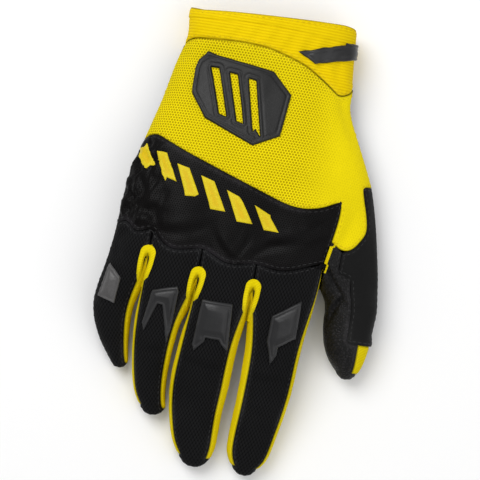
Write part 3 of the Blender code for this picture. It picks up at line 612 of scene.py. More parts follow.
class Shell:
    """All the glove's panels together, which tell the outer side of a wall from its inner side.

    A face belongs to a side of a wall if a ray through the wall soon leaves it on the other side, and not to its
    rim, whose ray outward soon meets the next panel. Of two such faces, the one from which more of the sky is
    seen is the outer one. In the gap between two fingers, the outer one looks at the sky or at its own panel.
    """

    seam_reach = 0.35 * MM
    start_lift = 0.05 * MM
    directions = 40

    def __init__(self, nodes: list[str]) -> None:
        """Joins the panels for ray casting.

        Args:
            nodes: The panels' CAD nodes.
        """
        points: list[Vector] = []
        faces: list[tuple[int, ...]] = []
        self.owners: list[str] = []
        for node in nodes:
            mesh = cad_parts[node].data
            self.owners += [node] * len(mesh.polygons)
            start = len(points)
            points += [vertex.co for vertex in mesh.vertices]
            faces += [tuple(index + start for index in face.vertices) for face in mesh.polygons]
        self.tree = BVHTree.FromPolygons(points, faces)
        turn = math.pi * (3.0 - math.sqrt(5.0))
        self.sky = []
        for number in range(self.directions):
            height = 1.0 - 2.0 * (number + 0.5) / self.directions
            reach = math.sqrt(1.0 - height * height)
            self.sky.append(Vector((reach * math.cos(turn * number), reach * math.sin(turn * number), height)))

    def openness(self, face: bpy.types.MeshPolygon) -> float:
        """Share of the sky over a face that no panel hides."""
        start = face.center + face.normal * self.start_lift
        ahead = [direction for direction in self.sky if direction.dot(face.normal) > 0.15]
        free = [direction for direction in ahead if self.tree.ray_cast(start, direction)[2] is None]
        return len(free) / len(ahead)

    def looks_into_gap(self, face: bpy.types.MeshPolygon, node: str) -> bool:
        """Whether a face looks at the sky or at its own panel."""
        met = self.tree.ray_cast(face.center + face.normal * self.start_lift, face.normal)[2]
        return met is None or self.owners[met] == node

    def outer_faces(self, mesh: bpy.types.Mesh, wall: float, gap_node: str | None = None) -> np.ndarray:
        """Finds the faces on the outer side of a wall.

        Args:
            mesh: Closed mesh of the wall.
            wall: The wall's thickness.
            gap_node: Name of the panel if it lies in the gap between two fingers.

        Returns:
            Whether each face is on that side.
        """
        points = [vertex.co for vertex in mesh.vertices]
        own = BVHTree.FromPolygons(points, [tuple(face.vertices) for face in mesh.polygons])
        seen = [self.openness(face) for face in mesh.polygons]
        chosen = np.zeros(len(mesh.polygons), bool)
        for face in mesh.polygons:
            start = face.center - face.normal * self.start_lift
            _, normal, partner, _ = own.ray_cast(start, -face.normal, 1.6 * wall)
            if partner is None or normal.dot(face.normal) > -0.35:
                continue
            start = face.center + face.normal * (0.2 * self.start_lift)
            _, normal, beside, _ = self.tree.ray_cast(start, face.normal, self.seam_reach)
            at_seam = beside is not None and normal.dot(face.normal) < -0.6
            outer = self.looks_into_gap(face, gap_node) if gap_node else seen[face.index] > seen[partner]
            chosen[face.index] = outer and not at_seam
        return self.close_holes(mesh, chosen)

    @staticmethod
    def close_holes(mesh: bpy.types.Mesh, chosen: np.ndarray) -> np.ndarray:
        """Adds faces that lie among chosen ones, and drops chosen ones that lie alone."""
        sides: dict[tuple, list[int]] = {}
        for face in mesh.polygons:
            for key in face.edge_keys:
                sides.setdefault(key, []).append(face.index)
        pairs = np.array([pair for pair in sides.values() if len(pair) == 2])
        for _ in range(3):
            beside = np.zeros(len(chosen), int)
            np.add.at(beside, pairs[:, 0], chosen[pairs[:, 1]])
            np.add.at(beside, pairs[:, 1], chosen[pairs[:, 0]])
            chosen = (chosen & (beside > 0)) | (beside >= 2)
        return chosen


def copy_side(node: str, name: str, choose: Callable[[bpy.types.Mesh], np.ndarray]) -> bpy.types.Object:
    """Copies a CAD piece and keeps one side of it, as an open patch of quads.

    Args:
        node: The CAD node.
        name: Name of the new piece.
        choose: Gives for each face of a mesh whether it is kept.

    Returns:
        The new piece.
    """
    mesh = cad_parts[node].data.copy()
    mesh.name = name
    mesh.materials.clear()
    piece = bpy.data.objects.new(name, mesh)
    bpy.context.scene.collection.objects.link(piece)
    select_only(piece)
    set_mode("EDIT")
    bpy.ops.mesh.select_mode(type="FACE")
    bpy.ops.mesh.select_all(action="SELECT")
    bpy.ops.mesh.customdata_custom_splitnormals_clear()
    bpy.ops.mesh.remove_doubles(threshold=0.01 * MM)
    bpy.ops.mesh.select_all(action="DESELECT")
    set_mode("OBJECT")
    mesh.polygons.foreach_set("select", ~choose(mesh))
    set_mode("EDIT")
    bpy.ops.mesh.delete(type="FACE")
    bpy.ops.mesh.select_all(action="SELECT")
    bpy.ops.mesh.dissolve_degenerate(threshold=0.05 * MM)
    bpy.ops.mesh.fill_holes(sides=3)
    bpy.ops.mesh.select_all(action="SELECT")
    bpy.ops.mesh.tris_convert_to_quads(face_threshold=math.radians(70), shape_threshold=math.radians(70))
    set_mode("OBJECT")
    return piece


def unwrap(piece: bpy.types.Object, split: bool) -> None:
    """Lays the cloth flat in its UV map at its real size, with the glove's length up.

    Args:
        piece: Open patch.
        split: Whether the patch is a tube, which is cut along its underside first.
    """
    mesh = piece.data
    while mesh.uv_layers:
        mesh.uv_layers.remove(mesh.uv_layers[0])
    mesh.uv_layers.new(name="cut")
    select_only(piece)
    if split:
        middle = sum(vertex.co.x for vertex in mesh.vertices) / len(mesh.vertices)
        lowest = min(vertex.co.z for vertex in mesh.vertices)
        bottom = [vertex for vertex in mesh.vertices if vertex.co.z < lowest + 1 * MM]
        column = min(bottom, key=lambda vertex: abs(vertex.co.x - middle)).co.x
        for edge in mesh.edges:
            ends = [mesh.vertices[index].co for index in edge.vertices]
            along = abs(ends[0].y - ends[1].y) > 2 * abs(ends[0].x - ends[1].x)
            edge.use_seam = along and all(
                end.z < lowest + 2 * MM and abs(end.x - column) < 1.5 * MM for end in ends)
    set_mode("EDIT")
    bpy.ops.mesh.select_all(action="SELECT")
    bpy.ops.uv.unwrap(method="ANGLE_BASED", margin=0.0)
    set_mode("OBJECT")
    layer = mesh.uv_layers[0].data
    flat = np.empty(len(layer) * 2)
    layer.foreach_get("uv", flat)
    flat = flat.reshape(-1, 2)
    corners = np.empty(len(mesh.loops), int)
    mesh.loops.foreach_get("vertex_index", corners)
    along = read_points(mesh)[corners, 1]
    area = 0.0
    for face in mesh.polygons:
        ring = flat[list(face.loop_indices)]
        ahead = np.roll(ring, -1, axis=0)
        area += abs((ring[:, 0] * ahead[:, 1] - ring[:, 1] * ahead[:, 0]).sum()) / 2
    scale = math.sqrt(sum(face.area for face in mesh.polygons) / max(area, 1e-12))
    matrix = np.column_stack((flat, np.ones(len(flat))))
    a, b, _ = np.linalg.lstsq(matrix, along, rcond=None)[0]
    size = math.hypot(a, b)
    a, b = a / size, b / size
    turned = np.column_stack((flat[:, 0] * b - flat[:, 1] * a, flat[:, 0] * a + flat[:, 1] * b)) * scale
    layer.foreach_set("uv", turned.ravel())


@dataclass
class Panel:
    """One cloth or leather panel.

    roll is how far its edges turn in at the seams, pucker the height of the gathers between stitches, wave the
    size and height of its uneven waves. shape, if given, moves its points before the seams are rolled.
    """

    node: str
    finish: Finish
    wall: float
    levels: int = 3
    roll: float = 0.45 * MM
    roll_width: float = 0.9 * MM
    pucker: float = 0.10 * MM
    wave: tuple[float, float] = (14 * MM, 0.25 * MM)
    folded: bool = True
    tube: bool = False
    in_gap: bool = False
    shape: Callable[[np.ndarray, np.ndarray, np.ndarray], np.ndarray] | None = None
    piece: bpy.types.Object = field(init=False)
    border: Border = field(init=False)
    surface: BVHTree = field(init=False)

    def build(self, shop: "Workshop") -> bpy.types.Object:
        """Makes the panel and lets it stand for its CAD node.

        Args:
            shop: What all pieces share.

        Returns:
            The finished piece.
        """
        gap_node = self.node if self.in_gap else None
        self.piece = copy_side(
            self.node, self.node + "_cloth", lambda mesh: shop.shell.outer_faces(mesh, self.wall, gap_node))
        unwrap(self.piece, self.tube)
        apply_modifier(
            self.piece, "SUBSURF", levels=self.levels, render_levels=self.levels,
            boundary_smooth="PRESERVE_CORNERS",
        )
        self.relieve()
        self.surface = self.read_surface()
        apply_modifier(self.piece, "SOLIDIFY", thickness=self.wall, offset=-1.0)
        self.piece.data.shade_smooth()
        self.piece.data.set_sharp_from_angle(angle=math.radians(60))
        dress(self.piece, self.finish, shop, self.node)
        return self.piece

    def relieve(self) -> None:
        """Presses in the folds, the gathers and the rolled seams, and notes each point's distance from a seam."""
        mesh = self.piece.data
        points = read_points(mesh)
        normals = read_normals(mesh)
        distance, travel = Border(mesh).measure(points)
        moves = crumple(points, *self.wave) * ramp(distance, 0.0, 5 * MM)
        if self.folded:
            upward = ramp(normals[:, 2], 0.1, 0.6)
            for fold in FOLDS:
                moves += fold.press(points) * upward * ramp(distance, 0.0, 2.5 * MM)
        gather = np.cos(travel * (2 * math.pi / (3.4 * MM)))
        moves += self.pucker * gather * np.exp(-((distance - 1.6 * MM) / (1.1 * MM)) ** 2)
        moves -= self.roll * np.exp(-(distance / self.roll_width) ** 2)
        points += normals * moves[:, None]
        if self.shape:
            points += self.shape(points, normals, distance)
        write_points(mesh, points)
        attribute = mesh.attributes.new(SEAM_ATTRIBUTE, "FLOAT", "POINT")
        attribute.data.foreach_set("value", distance.astype(np.float32))
        self.border = Border(mesh)

    def read_surface(self) -> BVHTree:
        """The side that shows, for what lies on it."""
        mesh = self.piece.data
        return BVHTree.FromPolygons(
            [vertex.co for vertex in mesh.vertices], [tuple(face.vertices) for face in mesh.polygons])


def dress(piece: bpy.types.Object, finish: Finish, shop: "Workshop", *nodes: str) -> None:
    """Gives a piece its material and its body, and hides the CAD nodes that it stands for."""
    piece.data.materials.clear()
    piece.data.materials.append(finish.material(shop.patterns))
    if nodes:
        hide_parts(*nodes)
    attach(piece, BODY)
    log.info("%s: %d faces", piece.name, len(piece.data.polygons))


@dataclass
class Moulding:
    """A moulded or printed piece that lies on a dressed panel.

    height is how high it stands, edge the radius of its rounded edge, and groove the distance of a moulded line
    from its edge, with groove_depth. Inside the groove it rises by slope to a ridge, no higher than ridge.
    mesh_size is the side of its small faces.
    """

    node: str
    finish: Finish
    height: float
    edge: float = 0.7 * MM
    groove: float = 0.0
    groove_depth: float = 0.0
    slope: float = 0.0
    ridge: float = 0.9 * MM
    mesh_size: float = 0.5 * MM
    seat: float = 0.15 * MM
    sunk: float = 0.6 * MM

    def build(self, panels: list[Panel], shop: "Workshop") -> bpy.types.Object:
        """Makes the piece on the panels under it.

        Args:
            panels: Panels that it may lie on.
            shop: What all pieces share.

        Returns:
            The finished piece.
        """
        piece = copy_side(self.node, self.node + "_moulding", lambda mesh: self.top_faces(mesh, panels))
        self.refine(piece)
        mesh = piece.data
        points = read_points(mesh)
        distance, _ = Border(mesh).measure(points)
        round_share = 1.0 - np.clip(distance / self.edge, 0.0, 1.0)
        height = self.height * np.sqrt(1.0 - round_share ** 2)
        if self.groove:
            height -= self.groove_depth * np.exp(-((distance - self.groove) / (0.45 * MM)) ** 2)
        height += np.minimum(np.maximum(distance - self.groove, 0.0) * self.slope, self.ridge)
        for number, point in enumerate(points):
            spot, normal = self.nearest(panels, Vector(point))
            points[number] = spot + normal * (self.seat + height[number])
        write_points(mesh, points)
        attribute = mesh.attributes.new(SEAM_ATTRIBUTE, "FLOAT", "POINT")
        attribute.data.foreach_set("value", (distance + 1 * MM).astype(np.float32))
        unwrap(piece, False)
        apply_modifier(piece, "SOLIDIFY", thickness=self.sunk, offset=-1.0)
        mesh.shade_smooth()
        mesh.set_sharp_from_angle(angle=math.radians(70))
        dress(piece, self.finish, shop, self.node)
        return piece

    def top_faces(self, mesh: bpy.types.Mesh, panels: list[Panel]) -> np.ndarray:
        """Whether each face looks the same way as the panel under it."""
        alike = [face.normal.dot(self.nearest(panels, face.center)[1]) > 0.35 for face in mesh.polygons]
        return Shell.close_holes(mesh, np.array(alike))

    def refine(self, piece: bpy.types.Object) -> None:
        """Cuts the piece into small squares across and along the glove."""
        points = read_points(piece.data)
        select_only(piece)
        set_mode("EDIT")
        bpy.ops.mesh.select_all(action="SELECT")
        bpy.ops.mesh.quads_convert_to_tris(quad_method="BEAUTY")
        for axis in range(2):
            low, high = points[:, axis].min(), points[:, axis].max()
            normal = [float(axis == 0), float(axis == 1), 0.0]
            for place in np.arange(low + self.mesh_size, high, self.mesh_size):
                bpy.ops.mesh.select_all(action="SELECT")
                bpy.ops.mesh.bisect(plane_co=[place * share for share in normal], plane_no=normal)
        bpy.ops.mesh.select_all(action="SELECT")
        bpy.ops.mesh.remove_doubles(threshold=0.1 * self.mesh_size)
        set_mode("OBJECT")

    @staticmethod
    def nearest(panels: list[Panel], point: Vector) -> tuple[Vector, Vector]:
        """The nearest place on any of the panels, and its normal."""
        best = None
        for panel in panels:
            spot, normal, _, away = panel.surface.find_nearest(point)
            if best is None or away < best[2]:
                best = (spot, normal, away)
        return best[0], best[1]


@dataclass
class StitchRows:
    """Rows of stitches along the borders of some panels.

    inset is their distance from the seam, length a stitch's and gap the space before the next. Where the cloth's
    normal points up by less than least_upward, the seam is turned in and its stitches don't show.
    """

    name: str
    finish: Finish
    inset: float = 1.5 * MM
    length: float = 2.0 * MM
    gap: float = 0.9 * MM
    thickness: float = 0.22 * MM
    least_upward: float = 0.3

    def model_stitch(self) -> tuple[np.ndarray, list[tuple[int, ...]]]:
        """Models one stitch along X, as a bowed thread whose ends dip into the cloth.

        Returns:
            Its points and its faces.
        """
        bpy.ops.object.select_all(action="DESELECT")
        bpy.ops.mesh.primitive_cylinder_add(
            vertices=6, radius=self.thickness, depth=self.length, end_fill_type="TRIFAN",
            rotation=(0, math.pi / 2, 0))
        stitch = bpy.context.object
        bpy.ops.object.transform_apply(location=True, rotation=True, scale=True)
        for offset in (-0.32, 0.0, 0.32):
            set_mode("EDIT")
            bpy.ops.mesh.select_all(action="SELECT")
            bpy.ops.mesh.bisect(plane_co=(offset * self.length, 0, 0), plane_no=(1, 0, 0))
            set_mode("OBJECT")
        points = read_points(stitch.data)
        bow = 1.0 - (points[:, 0] / (self.length / 2)) ** 2
        points[:, 1:] *= (0.55 + 0.45 * bow)[:, None]
        points[:, 2] += self.thickness * (bow - 0.75)
        faces = [tuple(face.vertices) for face in stitch.data.polygons]
        bpy.data.objects.remove(stitch)
        return points, faces

    def build(self, rows: list[tuple[Panel, Callable[[Vector], bool]]], shop: "Workshop") -> bpy.types.Object:
        """Lays the rows and joins them into one piece.

        Args:
            rows: Each panel, and a test of whether a place on its border is stitched.
            shop: What all pieces share.

        Returns:
            The joined stitches.
        """
        shape, faces = self.model_stitch()
        points: list[np.ndarray] = []
        joined: list[tuple[int, ...]] = []
        for panel, wanted in rows:
            for spot, along, up in self.places(panel, wanted):
                side = np.cross(up, along)
                start = len(points) * len(shape)
                points.append(spot + shape[:, :1] * along + shape[:, 1:2] * side + shape[:, 2:] * up)
                joined += [tuple(index + start for index in face) for face in faces]
        mesh = bpy.data.meshes.new(self.name)
        mesh.from_pydata(np.concatenate(points), [], joined)
        mesh.shade_smooth()
        layer = mesh.uv_layers.new(name="cut").data
        for loop in mesh.loops:
            place = mesh.vertices[loop.vertex_index].co
            layer[loop.index].uv = (place.x, place.y)
        attribute = mesh.attributes.new(SEAM_ATTRIBUTE, "FLOAT", "POINT")
        attribute.data.foreach_set("value", np.full(len(mesh.vertices), self.inset * 4, np.float32))
        piece = bpy.data.objects.new(self.name, mesh)
        bpy.context.scene.collection.objects.link(piece)
        dress(piece, self.finish, shop)
        return piece

    def places(self, panel: Panel, wanted: Callable[[Vector], bool]) -> list[tuple]:
        """Middle, direction and normal of each stitch along a panel's border."""
        found = []
        for loop in panel.border.loops:
            ring = panel.border.points[loop]
            steps = np.linalg.norm(np.roll(ring, -1, axis=0) - ring, axis=1)
            travel = np.concatenate(([0.0], np.cumsum(steps)))
            closed = np.vstack((ring, ring[:1]))
            count = int(travel[-1] / (self.length + self.gap))
            for number in range(count):
                middle = (number + 0.5) * travel[-1] / count
                half = 1.2 * MM
                ends = [
                    np.array([np.interp((middle + shift) % travel[-1], travel, closed[:, axis]) for axis in range(3)])
                    for shift in (-half, 0.0, half)
                ]
                tangent = ends[2] - ends[0]
                tangent /= max(np.linalg.norm(tangent), 1e-9)
                _, normal, _, _ = panel.surface.find_nearest(Vector(ends[1]))
                inward = np.cross(np.array(normal), tangent)
                spot, up, _, _ = panel.surface.find_nearest(Vector(ends[1] + inward * self.inset))
                if spot is None or up.z < self.least_upward or not wanted(spot):
                    continue
                up = np.array(up)
                along = tangent - up * tangent.dot(up)
                along /= max(np.linalg.norm(along), 1e-9)
                found.append((np.array(spot), along, up))
        return found


@dataclass
class Workshop:
    """What all pieces are made with: the shared node groups and the panels' shell."""

    patterns: PatternGroups
    shell: Shell


def anywhere(_: Vector) -> bool:
    """Stitches the whole border."""
    return True


@dataclass
class Cuff:
    """The knitted wrist band with its hem, and the tab moulded over its thumb-side edge."""

    hem: float = 7.0 * MM
    hem_swell: float = 0.35 * MM
    ripple: float = 0.35 * MM
    ripple_pitch: float = 9.0 * MM

    def shape_band(self, points: np.ndarray, normals: np.ndarray, distance: np.ndarray) -> np.ndarray:
        """Swells the turned hem, presses its stitched line and ripples the band.

        Args:
            points: Places on the band.
            normals: Their normals.
            distance: Their distances from the band's edges.

        Returns:
            The moves.
        """
        top = points[:, 1].max() - np.abs(points[:, 0] + 6 * MM) * 0.06
        below = top - points[:, 1]
        swell = self.hem_swell * (1.0 - ramp(below, self.hem - 0.6 * MM, self.hem + 0.4 * MM))
        line = -0.3 * MM * np.exp(-((below - self.hem) / (0.5 * MM)) ** 2)
        phase = points[:, 0] / self.ripple_pitch + np.sin(points[:, 1] / (7 * MM)) * 0.3
        ripple = self.ripple * np.sin(2 * math.pi * phase) * ramp(below, 1 * MM, 14 * MM) * ramp(distance, 0, 4 * MM)
        return normals * (swell + line + ripple)[:, None]

    def build(self, shop: "Workshop") -> list[Panel]:
        """Builds the band and its tab."""
        band = Panel(
            "cuff_band", CUFF_KNIT, 2.4 * MM, levels=4, wave=(18 * MM, 0.3 * MM), tube=True,
            shape=self.shape_band,
        )
        band.build(shop)
        tab = Moulding(
            "wrist_tab", GUARD_RUBBER, 1.4 * MM, edge=0.6 * MM, groove=1.6 * MM,
            groove_depth=0.25 * MM,
        )
        tab.build([band], shop)
        return [band]


@dataclass
class Back:
    """The mesh over the back, the panel over the knuckles, and the plate and shards that lie on them."""

    shard_count: int = 6
    slack_edge: tuple[float, float] = (-64 * MM, -38 * MM)
    slack_wave: tuple[float, float] = (4.5 * MM, 2.2 * MM)

    def crumple_knuckle(self, points: np.ndarray, normals: np.ndarray, distance: np.ndarray) -> np.ndarray:
        """Crumples the slack cloth over the little finger's knuckle.

        Args:
            points: Places on the panel.
            normals: Their normals.
            distance: Their distances from the panel's edges.

        Returns:
            The moves.
        """
        slack = 1.0 - ramp(points[:, 0], *self.slack_edge)
        return normals * (crumple(points, *self.slack_wave) * slack * ramp(distance, 0.0, 4 * MM))[:, None]

    def build(self, shop: "Workshop") -> list[Panel]:
        """Builds both panels and what is on them."""
        mesh = Panel("back_mesh", AIR_MESH, 1.8 * MM, wave=(22 * MM, 0.35 * MM))
        knuckles = Panel(
            "knuckle_panel", KNUCKLE_CLOTH, 2.0 * MM, wave=(12 * MM, 0.25 * MM), shape=self.crumple_knuckle)
        for panel in (mesh, knuckles):
            panel.build(shop)
        plate = Moulding(
            "back_plate", PLATE_RUBBER, 1.3 * MM, edge=0.8 * MM, groove=2.2 * MM,
            groove_depth=0.3 * MM,
        )
        plate.build([mesh], shop)
        for number in range(1, self.shard_count + 1):
            shard = Moulding(
                f"slash_{number}", SHARD_PRINT, 0.4 * MM, edge=0.4 * MM,
                mesh_size=0.5 * MM, sunk=0.4 * MM,
            )
            shard.build([knuckles], shop)
        return [mesh, knuckles]


@dataclass
class Insert:
    """A yellow strip let in between two panels, such as the rounded top of the strip between two fingers.

    start and end are its two ends, width its width, taper the share by which it narrows. fold is the depth of
    the crease along its middle, slot the crease's half width at its foot and at its lips as shares of the
    strip's, drop how far its end sinks between the fingers, round_top whether its start is round.
    """

    name: str
    start: tuple[float, float]
    end: tuple[float, float]
    width: float = 8.0 * MM
    fold: float = 4.5 * MM
    slot: tuple[float, float] = (0.1, 0.5)
    drop: float = 3.0 * MM
    taper: float = 0.35
    round_top: bool = True
    lift: float = 0.35 * MM
    swell: float = 0.45 * MM
    wall: float = 0.9 * MM
    across: int = 20
    along: int = 60

    def build(self, panels: list[Panel], shop: "Workshop") -> bpy.types.Object:
        """Lays the strip on the panels under it.

        Args:
            panels: Panels that it may lie on.
            shop: What all pieces share.

        Returns:
            The finished piece.
        """
        bpy.ops.object.select_all(action="DESELECT")
        bpy.ops.mesh.primitive_grid_add(x_subdivisions=self.across, y_subdivisions=self.along, size=2.0)
        piece = bpy.context.object
        piece.name = self.name
        mesh = piece.data
        mesh.name = self.name
        points = read_points(mesh)
        side = points[:, 0].copy()
        run = (1.0 - points[:, 1]) / 2
        start = np.array(self.start)
        way = np.array(self.end) - start
        length = np.linalg.norm(way)
        way /= length
        normal = np.array((-way[1], way[0]))
        half = self.width / 2 * (1.0 - self.taper * ramp(run, 0.35, 1.0))
        if self.round_top:
            half *= np.sqrt(1.0 - np.clip(1.0 - run * length / (self.width / 2), 0.0, 0.98) ** 2)
        middle = start + way * (run * length)[:, None]
        low, high = [
            self.even_out(np.array([self.height_under(panels, place) for place in middle + normal * edge]))
            for edge in (-half[:, None], half[:, None])
        ]
        share = (side + 1) / 2
        slot = 1.0 - ramp(np.abs(side), *self.slot)
        dip = self.fold * ramp(run * length, 3 * MM, 8 * MM) * slot
        lips = self.swell * np.sin(math.pi * np.abs(side)) * ramp(run * length, 0.0, 2 * MM)
        points[:, :2] = middle + normal * (side * half)[:, None]
        points[:, 2] = low + (high - low) * share + self.lift + lips - dip - self.drop * ramp(run, 0.6, 1.0)
        write_points(mesh, points)
        unwrap(piece, False)
        attribute = mesh.attributes.new(SEAM_ATTRIBUTE, "FLOAT", "POINT")
        seam = (1.0 - np.abs(side)) * half + 0.5 * MM
        # Painted shade: from about 5 mm below the strip's top its middle line counts as a seam, so the seam darkening
        # paints the crease dark.
        if self.fold:
            crease = np.abs(side) * half + 3 * MM * (1.0 - ramp(run * length, 1 * MM, 5 * MM))
            seam = np.minimum(seam, crease)
        attribute.data.foreach_set("value", seam.astype(np.float32))
        select_only(piece)
        set_mode("EDIT")
        bpy.ops.mesh.select_all(action="SELECT")
        bpy.ops.mesh.normals_make_consistent(inside=False)
        set_mode("OBJECT")
        if mesh.polygons[len(mesh.polygons) // 2].normal.z < 0:
            mesh.flip_normals()
        apply_modifier(piece, "SOLIDIFY", thickness=self.wall, offset=-1.0)
        mesh.shade_smooth()
        mesh.set_sharp_from_angle(angle=math.radians(60))
        dress(piece, SIDE_KNIT, shop)
        return piece

    def even_out(self, heights: np.ndarray) -> np.ndarray:
        """Heights along one edge of the strip, raised over narrow gaps and smoothed.

        Args:
            heights: The height under each point of the grid.

        Returns:
            The even heights, in the same order.
        """
        rows = heights.reshape(self.along + 1, -1)[:, 0]
        near = self.along // 15
        padded = np.pad(rows, near, mode="edge")
        highest = [padded[place:place + 2 * near + 1].max() for place in range(len(rows))]
        padded = np.pad(highest, near, mode="edge")
        smooth = [padded[place:place + 2 * near + 1].mean() for place in range(len(rows))]
        return np.repeat(smooth, len(heights) // len(rows))

    @staticmethod
    def height_under(panels: list[Panel], place: np.ndarray) -> float:
        """Height of the panels' highest surface at a place, seen from above."""
        above = Vector((place[0], place[1], 0.1))
        hits = [panel.surface.ray_cast(above, Vector((0, 0, -1)))[0] for panel in panels]
        return max((hit.z for hit in hits if hit), default=0.0)


@dataclass
class Fingers:
    """Four finger backs with their guards, and the strips along the fingers' sides."""

    names: tuple[str, ...] = ("pinky", "ring", "middle", "index")
    web_tops: tuple = (
        ("web_top_pinky_ring", (-48.6 * MM, -9.0 * MM), (-50.5 * MM, -31.0 * MM)),
        ("web_top_ring_middle", (-21.2 * MM, -15.5 * MM), (-23.5 * MM, -37.0 * MM)),
        ("web_top_middle_index", (7.6 * MM, -17.0 * MM), (6.5 * MM, -39.0 * MM)),
    )

    def build(self, shop: "Workshop") -> list[Panel]:
        """Builds the backs, the guards and the side strips."""
        backs = []
        for name in self.names:
            back = Panel(name + "_back", FINGER_KNIT, 1.4 * MM, wave=(9 * MM, 0.2 * MM))
            back.build(shop)
            guard = Moulding(
                name + "_guard", PALE_RUBBER if name == "pinky" else GUARD_RUBBER, 1.3 * MM, groove=1.7 * MM,
                groove_depth=0.3 * MM, slope=0.3,
            )
            guard.build([back], shop)
            backs.append(back)
        for first, second in zip(self.names, self.names[1:]):
            web = Panel(
                f"web_{first}_{second}", SIDE_KNIT, 1.2 * MM, roll=0.25 * MM,
                wave=(8 * MM, 0.15 * MM), folded=False, in_gap=True,
            )
            web.build(shop)
            backs.append(web)
        strip = Panel(
            "index_side_strip", SIDE_KNIT, 1.2 * MM, roll=0.25 * MM, wave=(8 * MM, 0.15 * MM),
            folded=False,
        )
        strip.build(shop)
        return backs + [strip]

    def fill_gaps(self, panels: list[Panel], shop: "Workshop") -> None:
        """Lays the round web tops and the thin strip beside the knuckles on the finished panels."""
        for name, start, end in self.web_tops:
            Insert(name, start, end).build(panels, shop)
        Insert(
            "knuckle_piping", (43.8 * MM, 8.5 * MM), (41.2 * MM, -7.5 * MM), width=1.8 * MM, fold=0.0, drop=0.0,
            lift=1.0 * MM, taper=0.3, round_top=False, across=6,
        ).build(panels, shop)


@dataclass
class Thumb:
    """The thumb's smooth outer piece, its textured inner piece and its small side piece."""

    hem: float = 7.0 * MM
    hem_flare: float = 1.3 * MM

    def flare_hem(self, points: np.ndarray, normals: np.ndarray, _: np.ndarray) -> np.ndarray:
        """Lifts the free hem of the outer piece.

        Args:
            points: Places on the panel.
            normals: Their normals.

        Returns:
            The moves.
        """
        above = points[:, 1] - points[:, 1].min()
        return normals * (self.hem_flare * (1.0 - ramp(above, 0.0, self.hem)))[:, None]

    def build(self, shop: "Workshop") -> list[Panel]:
        """Builds the three pieces."""
        panels = [
            Panel("thumb_outer", THUMB_CLOTH, 1.4 * MM, wave=(12 * MM, 0.25 * MM), shape=self.flare_hem),
            Panel("thumb_inner", PALM_LEATHER, 1.4 * MM, wave=(8 * MM, 0.3 * MM)),
            Panel("thumb_gusset", SIDE_KNIT, 1.2 * MM, roll=0.2 * MM, folded=False),
        ]
        for panel in panels:
            panel.build(shop)
        return panels


@dataclass
class Palm:
    """The leather palm with the undersides of all five digits."""

    def build(self, shop: "Workshop") -> list[Panel]:
        """Builds the palm."""
        palm = Panel("palm", PALM_LEATHER, 1.3 * MM, wave=(16 * MM, 0.2 * MM), folded=False)
        palm.build(shop)
        return [palm]


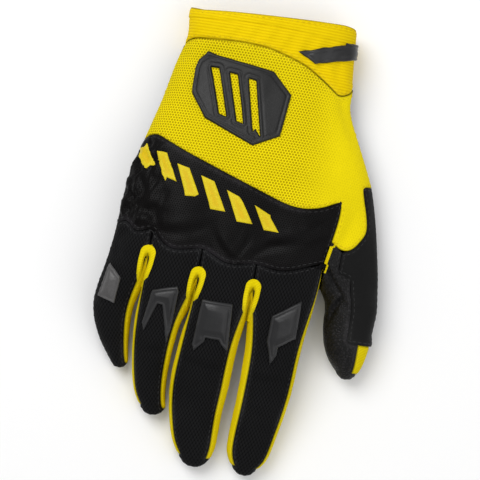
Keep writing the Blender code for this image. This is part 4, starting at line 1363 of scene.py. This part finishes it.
@dataclass
class Studio:
    """Pale floor, soft lights and the camera at the photograph's angle.

    middle is the place that the picture's centre shows, width the stretch of floor that the picture is wide, and
    roll the camera's turn about its line of sight in degrees.
    """

    middle: tuple[float, float] = (-3.55 * MM, 1.55 * MM)
    width: float = 249.6 * MM
    silhouette_height: float = 15 * MM
    distance: float = 1.5
    roll: float = 10.0
    sensor: float = 36.0

    def build(self) -> None:
        """Sets up the whole studio."""
        self.lay_floor()
        self.place_camera()
        self.light()

    def lay_floor(self) -> None:
        """A wide plain floor."""
        bpy.ops.object.select_all(action="DESELECT")
        bpy.ops.mesh.primitive_plane_add(size=8.0, location=(0, 0, 0))
        floor = bpy.context.object
        floor.name = "floor"
        bpy.ops.object.transform_apply(location=True, rotation=True, scale=True)
        material = bpy.data.materials.new("floor")
        material.use_nodes = True
        shader = material.node_tree.nodes["Principled BSDF"]
        shader.inputs["Base Color"].default_value = (0.95, 0.95, 0.95, 1.0)
        shader.inputs["Roughness"].default_value = 0.9
        floor.data.materials.append(material)

    def place_camera(self) -> None:
        """A long lens straight above the glove."""
        data = bpy.data.cameras.new("camera")
        data.sensor_width = self.sensor
        data.lens = self.sensor * (self.distance - self.silhouette_height) / self.width
        data.clip_end = 20.0
        camera = bpy.data.objects.new("camera", data)
        camera.location = (*self.middle, self.distance)
        camera.rotation_euler = (0.0, 0.0, math.radians(self.roll))
        bpy.context.scene.collection.objects.link(camera)
        bpy.context.scene.camera = camera

    def light(self) -> None:
        """Three soft lamps and an even pale surround."""
        for name, place, size, power in (
            ("key", (-0.5, 0.55, 1.1), 0.9, 10.0),
            ("fill", (0.8, -0.3, 0.9), 1.1, 3.2),
            ("top", (0.1, 0.0, 1.8), 1.6, 5.0),
        ):
            data = bpy.data.lights.new(name, "AREA")
            data.shape = "DISK"
            data.size = size
            data.energy = power
            lamp = bpy.data.objects.new(name, data)
            lamp.location = place
            lamp.rotation_euler = (Vector((0, 0, 0)) - Vector(place)).to_track_quat("-Z", "Y").to_euler()
            bpy.context.scene.collection.objects.link(lamp)
        world = bpy.data.worlds.new("surround")
        world.use_nodes = True
        world.node_tree.nodes["Background"].inputs["Color"].default_value = (1.0, 1.0, 1.0, 1.0)
        world.node_tree.nodes["Background"].inputs["Strength"].default_value = 0.4
        bpy.context.scene.world = world
        bpy.context.scene.view_settings.view_transform = "Standard"


def main() -> None:
    """Builds the glove's parts in order, then the studio."""
    logging.basicConfig(level=logging.INFO, format="%(name)s: %(message)s")
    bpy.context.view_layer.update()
    loose = ("guard", "tab", "plate", "slash")
    panels = [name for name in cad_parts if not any(word in name for word in loose)]
    shop = Workshop(PatternGroups(), Shell(panels))
    cuff = Cuff().build(shop)
    back = Back().build(shop)
    fingers = Fingers().build(shop)
    thumb = Thumb().build(shop)
    Palm().build(shop)
    Fingers().fill_gaps(back + fingers + thumb, shop)
    dark = [panel for panel in back[1:] + fingers + thumb if panel.finish.base[0] < 0.1]
    yellow = [panel for panel in cuff + back + fingers if panel.finish.base[0] > 0.1]
    StitchRows("dark_stitches", DARK_THREAD).build([(panel, anywhere) for panel in dark], shop)
    StitchRows("yellow_stitches", YELLOW_THREAD).build([(panel, anywhere) for panel in yellow], shop)
    Studio().build()


if __name__ == "__main__":
    main()
